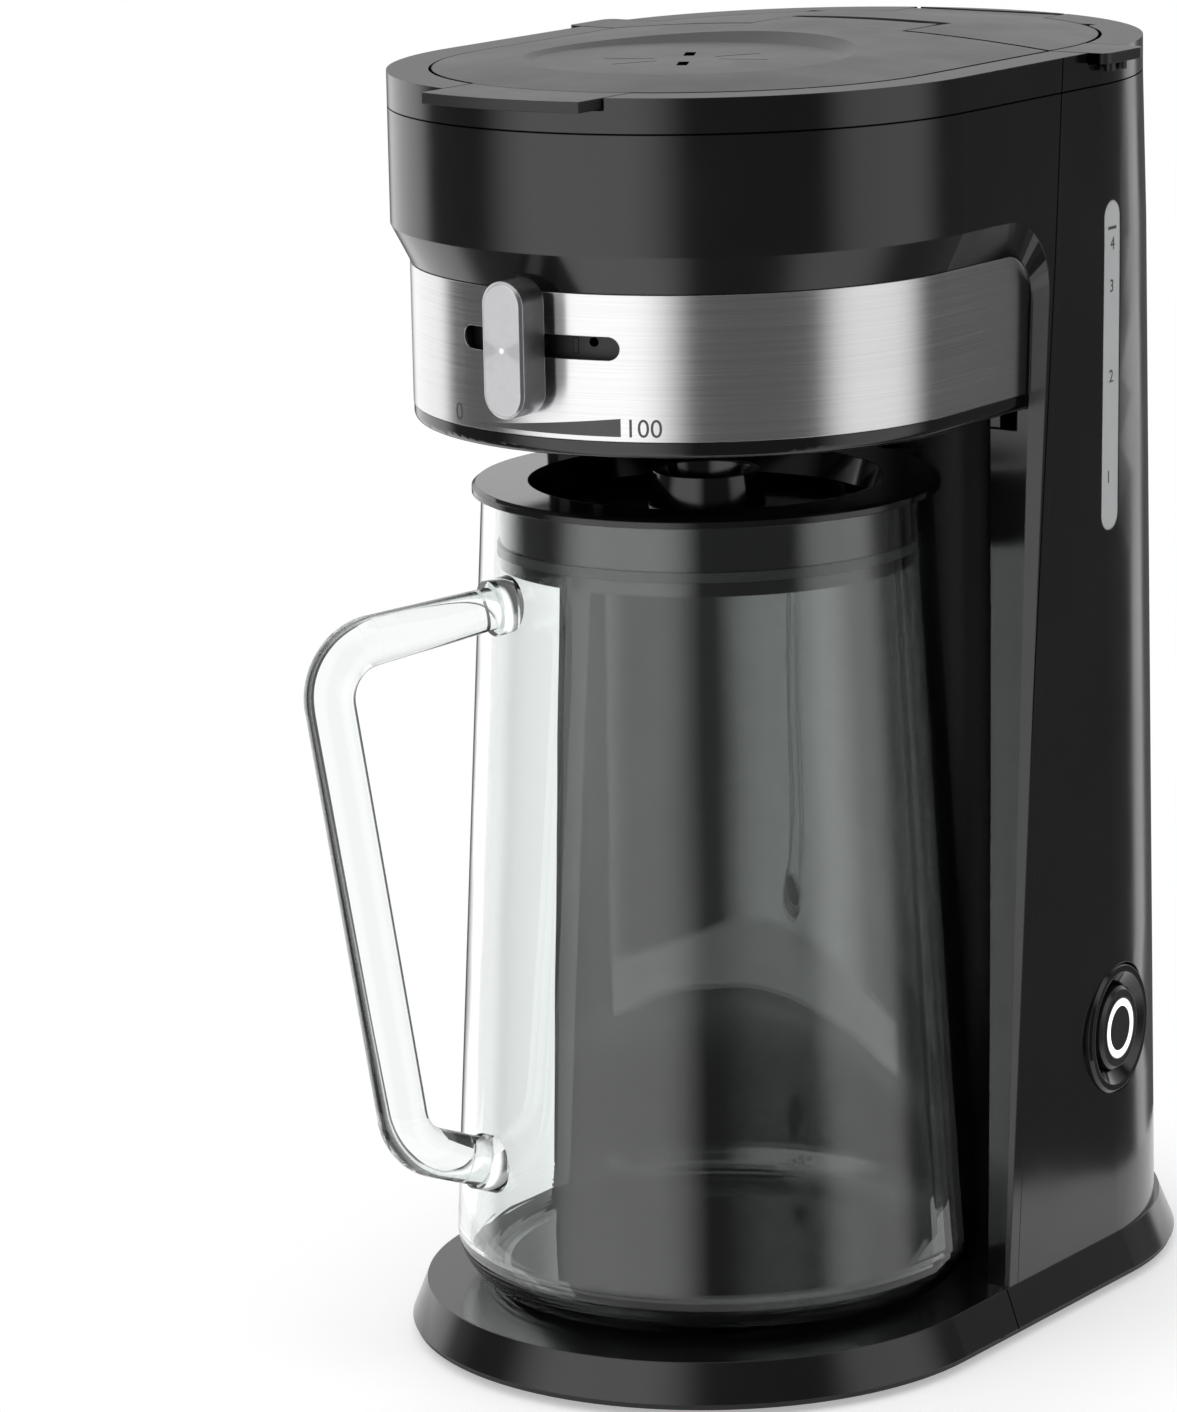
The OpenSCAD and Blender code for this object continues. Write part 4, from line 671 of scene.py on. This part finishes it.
tone = add(tree, "Mix", {"data_type": "RGBA", 0: lit, 6: linear("#131314"), 7: linear("#e8eaee")}).outputs[2]
feed(tree, shader, {
    "Base Color": tone, "Roughness": 0.3, "Emission Color": linear("#fbfcff"), "Emission Strength": shine,
})
dress(made, "power_key", "ring_light", "light_ring")

# Behind it: the switch in dull black nylon, and the board in green lacquer over copper
nylon = moulded("black_nylon", "#171718", "#202022", rough=0.45, haze=0.1, patch=6, grain=0.4,
                depth=0.004, edge=0.2)
dress(nylon, "maker", "switch_black", "button_switch")
board = moulded("green_solder_lacquer", "#17452a", "#1f5634", rough=0.28, haze=0.1, patch=3, grain=0.8,
                depth=0.01, edge=0.2)
dress(board, "maker", "board_green", "control_board")

# Inside the column
# Valve, hoses, heater, thermostat and fuse, as built into such makers; the closed shells hide them.
# The heater is aluminium, drawn and bent round its steel tube, with lines 17 mm long and 1.1 mm apart.
made, tree, shader, place = surface("drawn_aluminium")
draw_lines = (60, 60, 900)
line = add(tree, "Mapping", {"Vector": place, "Scale": draw_lines}).outputs[0]
rub = add(tree, "TexNoise", {"Vector": line, "Scale": 1, "Detail": 4}).outputs[0]
tone = add(tree, "Mix", {"data_type": "RGBA", 0: rub, 6: linear("#b9babd"), 7: linear("#d3d4d6")}).outputs[2]
gloss = add(tree, "MapRange", {"Value": rub, "To Min": 0.3, "To Max": 0.5}).outputs[0]
skin = add(tree, "Bump", {"Strength": 1, "Distance": 0.00002, "Height": rub}).outputs[0]
feed(tree, shader, {"Base Color": tone, "Metallic": 1.0, "Roughness": gloss, "Normal": skin})
dress(made, "maker", "heater_alu", "heater")
dress(steel, "maker", "bracket_steel", "heater_bracket")
dress(steel, "maker", "steel_screw", "bracket_screws")
milky = moulded("milky_silicone", "#d6d5d0", "#e3e2dd", rough=0.42, haze=0.1, patch=12, grain=0.6,
                depth=0.003, edge=0.2,
                more={"IOR": 1.41, "Subsurface Weight": 0.3, "Subsurface Radius": (0.002, 0.002, 0.002)})
dress(milky, "maker", "silicone_white", "inlet_hose", "riser_hose")
acetal = moulded("white_acetal", "#dcdbd6", "#e8e7e2", rough=0.3, haze=0.08, patch=10, grain=0.5,
                 depth=0.002, edge=0.2, more={"IOR": 1.48})
dress(acetal, "maker", "valve_white", "check_valve")
steatite = moulded("cream_steatite", "#cfc8b8", "#ddd6c6", rough=0.55, haze=0.12, patch=4, grain=0.25,
                   depth=0.01, edge=0.2)
dress(steatite, "maker", "ceramic_cream", "thermostat")
sleeve = moulded("white_glass_sleeve", "#dfdcd4", "#ebe8e0", rough=0.6, haze=0.1, patch=3, grain=0.4,
                 depth=0.02, edge=0.1)
dress(sleeve, "maker", "fuse_white", "thermal_fuse")

# Below the foot
# Bottom cover in plain black polypropylene with air slots, four zinc-plated screws and four rubber feet.
matt = moulded("grained_black_polypropylene", "#141415", "#1b1b1c", rough=0.5, haze=0.1, patch=20, grain=0.6,
               depth=0.02, edge=0.3, more={"IOR": 1.49})
dress(matt, "maker", "cover_black", "base_bottom_cover")
rubber = moulded("black_rubber", "#101010", "#181818", rough=0.65, haze=0.12, patch=6, grain=0.4,
                 depth=0.01, edge=0.4, more={"IOR": 1.52})
dress(rubber, "maker", "rubber_black", "rubber_feet", "cord_grommet")
dress(steel, "maker", "steel_screw", "base_screws")

# The jug
# Borosilicate glass, blown in a mould: clear, a little wavy, with a heavy floor, and a solid glass rod
# drawn, bent and fused on as its handle.
# Its waves are 45 mm long, and what dulls it a little are touch marks of 14 mm.
made, tree, shader, place = surface("clear_borosilicate_glass")
sway = add(tree, "TexNoise", {"Vector": place, "Scale": 22, "Detail": 1}).outputs[0]
skin = add(tree, "Bump", {"Strength": 1, "Distance": 0.0003, "Height": sway}).outputs[0]
touch = add(tree, "TexNoise", {"Vector": place, "Scale": 70, "Detail": 5}).outputs[0]
gloss = add(tree, "MapRange", {
    "Value": touch, "From Min": 0.55, "From Max": 0.75, "To Min": 0.0, "To Max": 0.03}).outputs[0]
feed(tree, shader, {
    "Base Color": linear("#fafdfc"), "Roughness": gloss, "IOR": 1.47, "Transmission Weight": 1.0,
    "Normal": skin,
})
dress(made, "jug", "glass_clear", "jug_glass", "jug_handle")

# The jug's lid
# Glossy black polypropylene with a dished top; its skirt shows through the glass, with a grey seal in
# a groove, and it lifts off by hand.
cover = moulded("glossy_black_polypropylene", "#080809", "#0d0d0e", rough=0.07, haze=0.06, patch=22,
                grain=0.7, depth=0.0008, edge=0.4, more={"IOR": 1.52})
dress(cover, "jug_cover", "gloss_black", "jug_lid")
grey_soft = moulded("grey_silicone", "#2c2c2e", "#38383a", rough=0.4, haze=0.1, patch=8, grain=0.5,
                    depth=0.003, edge=0.2, more={"IOR": 1.41})
dress(grey_soft, "jug_cover", "seal_grey", "jug_lid_seal")
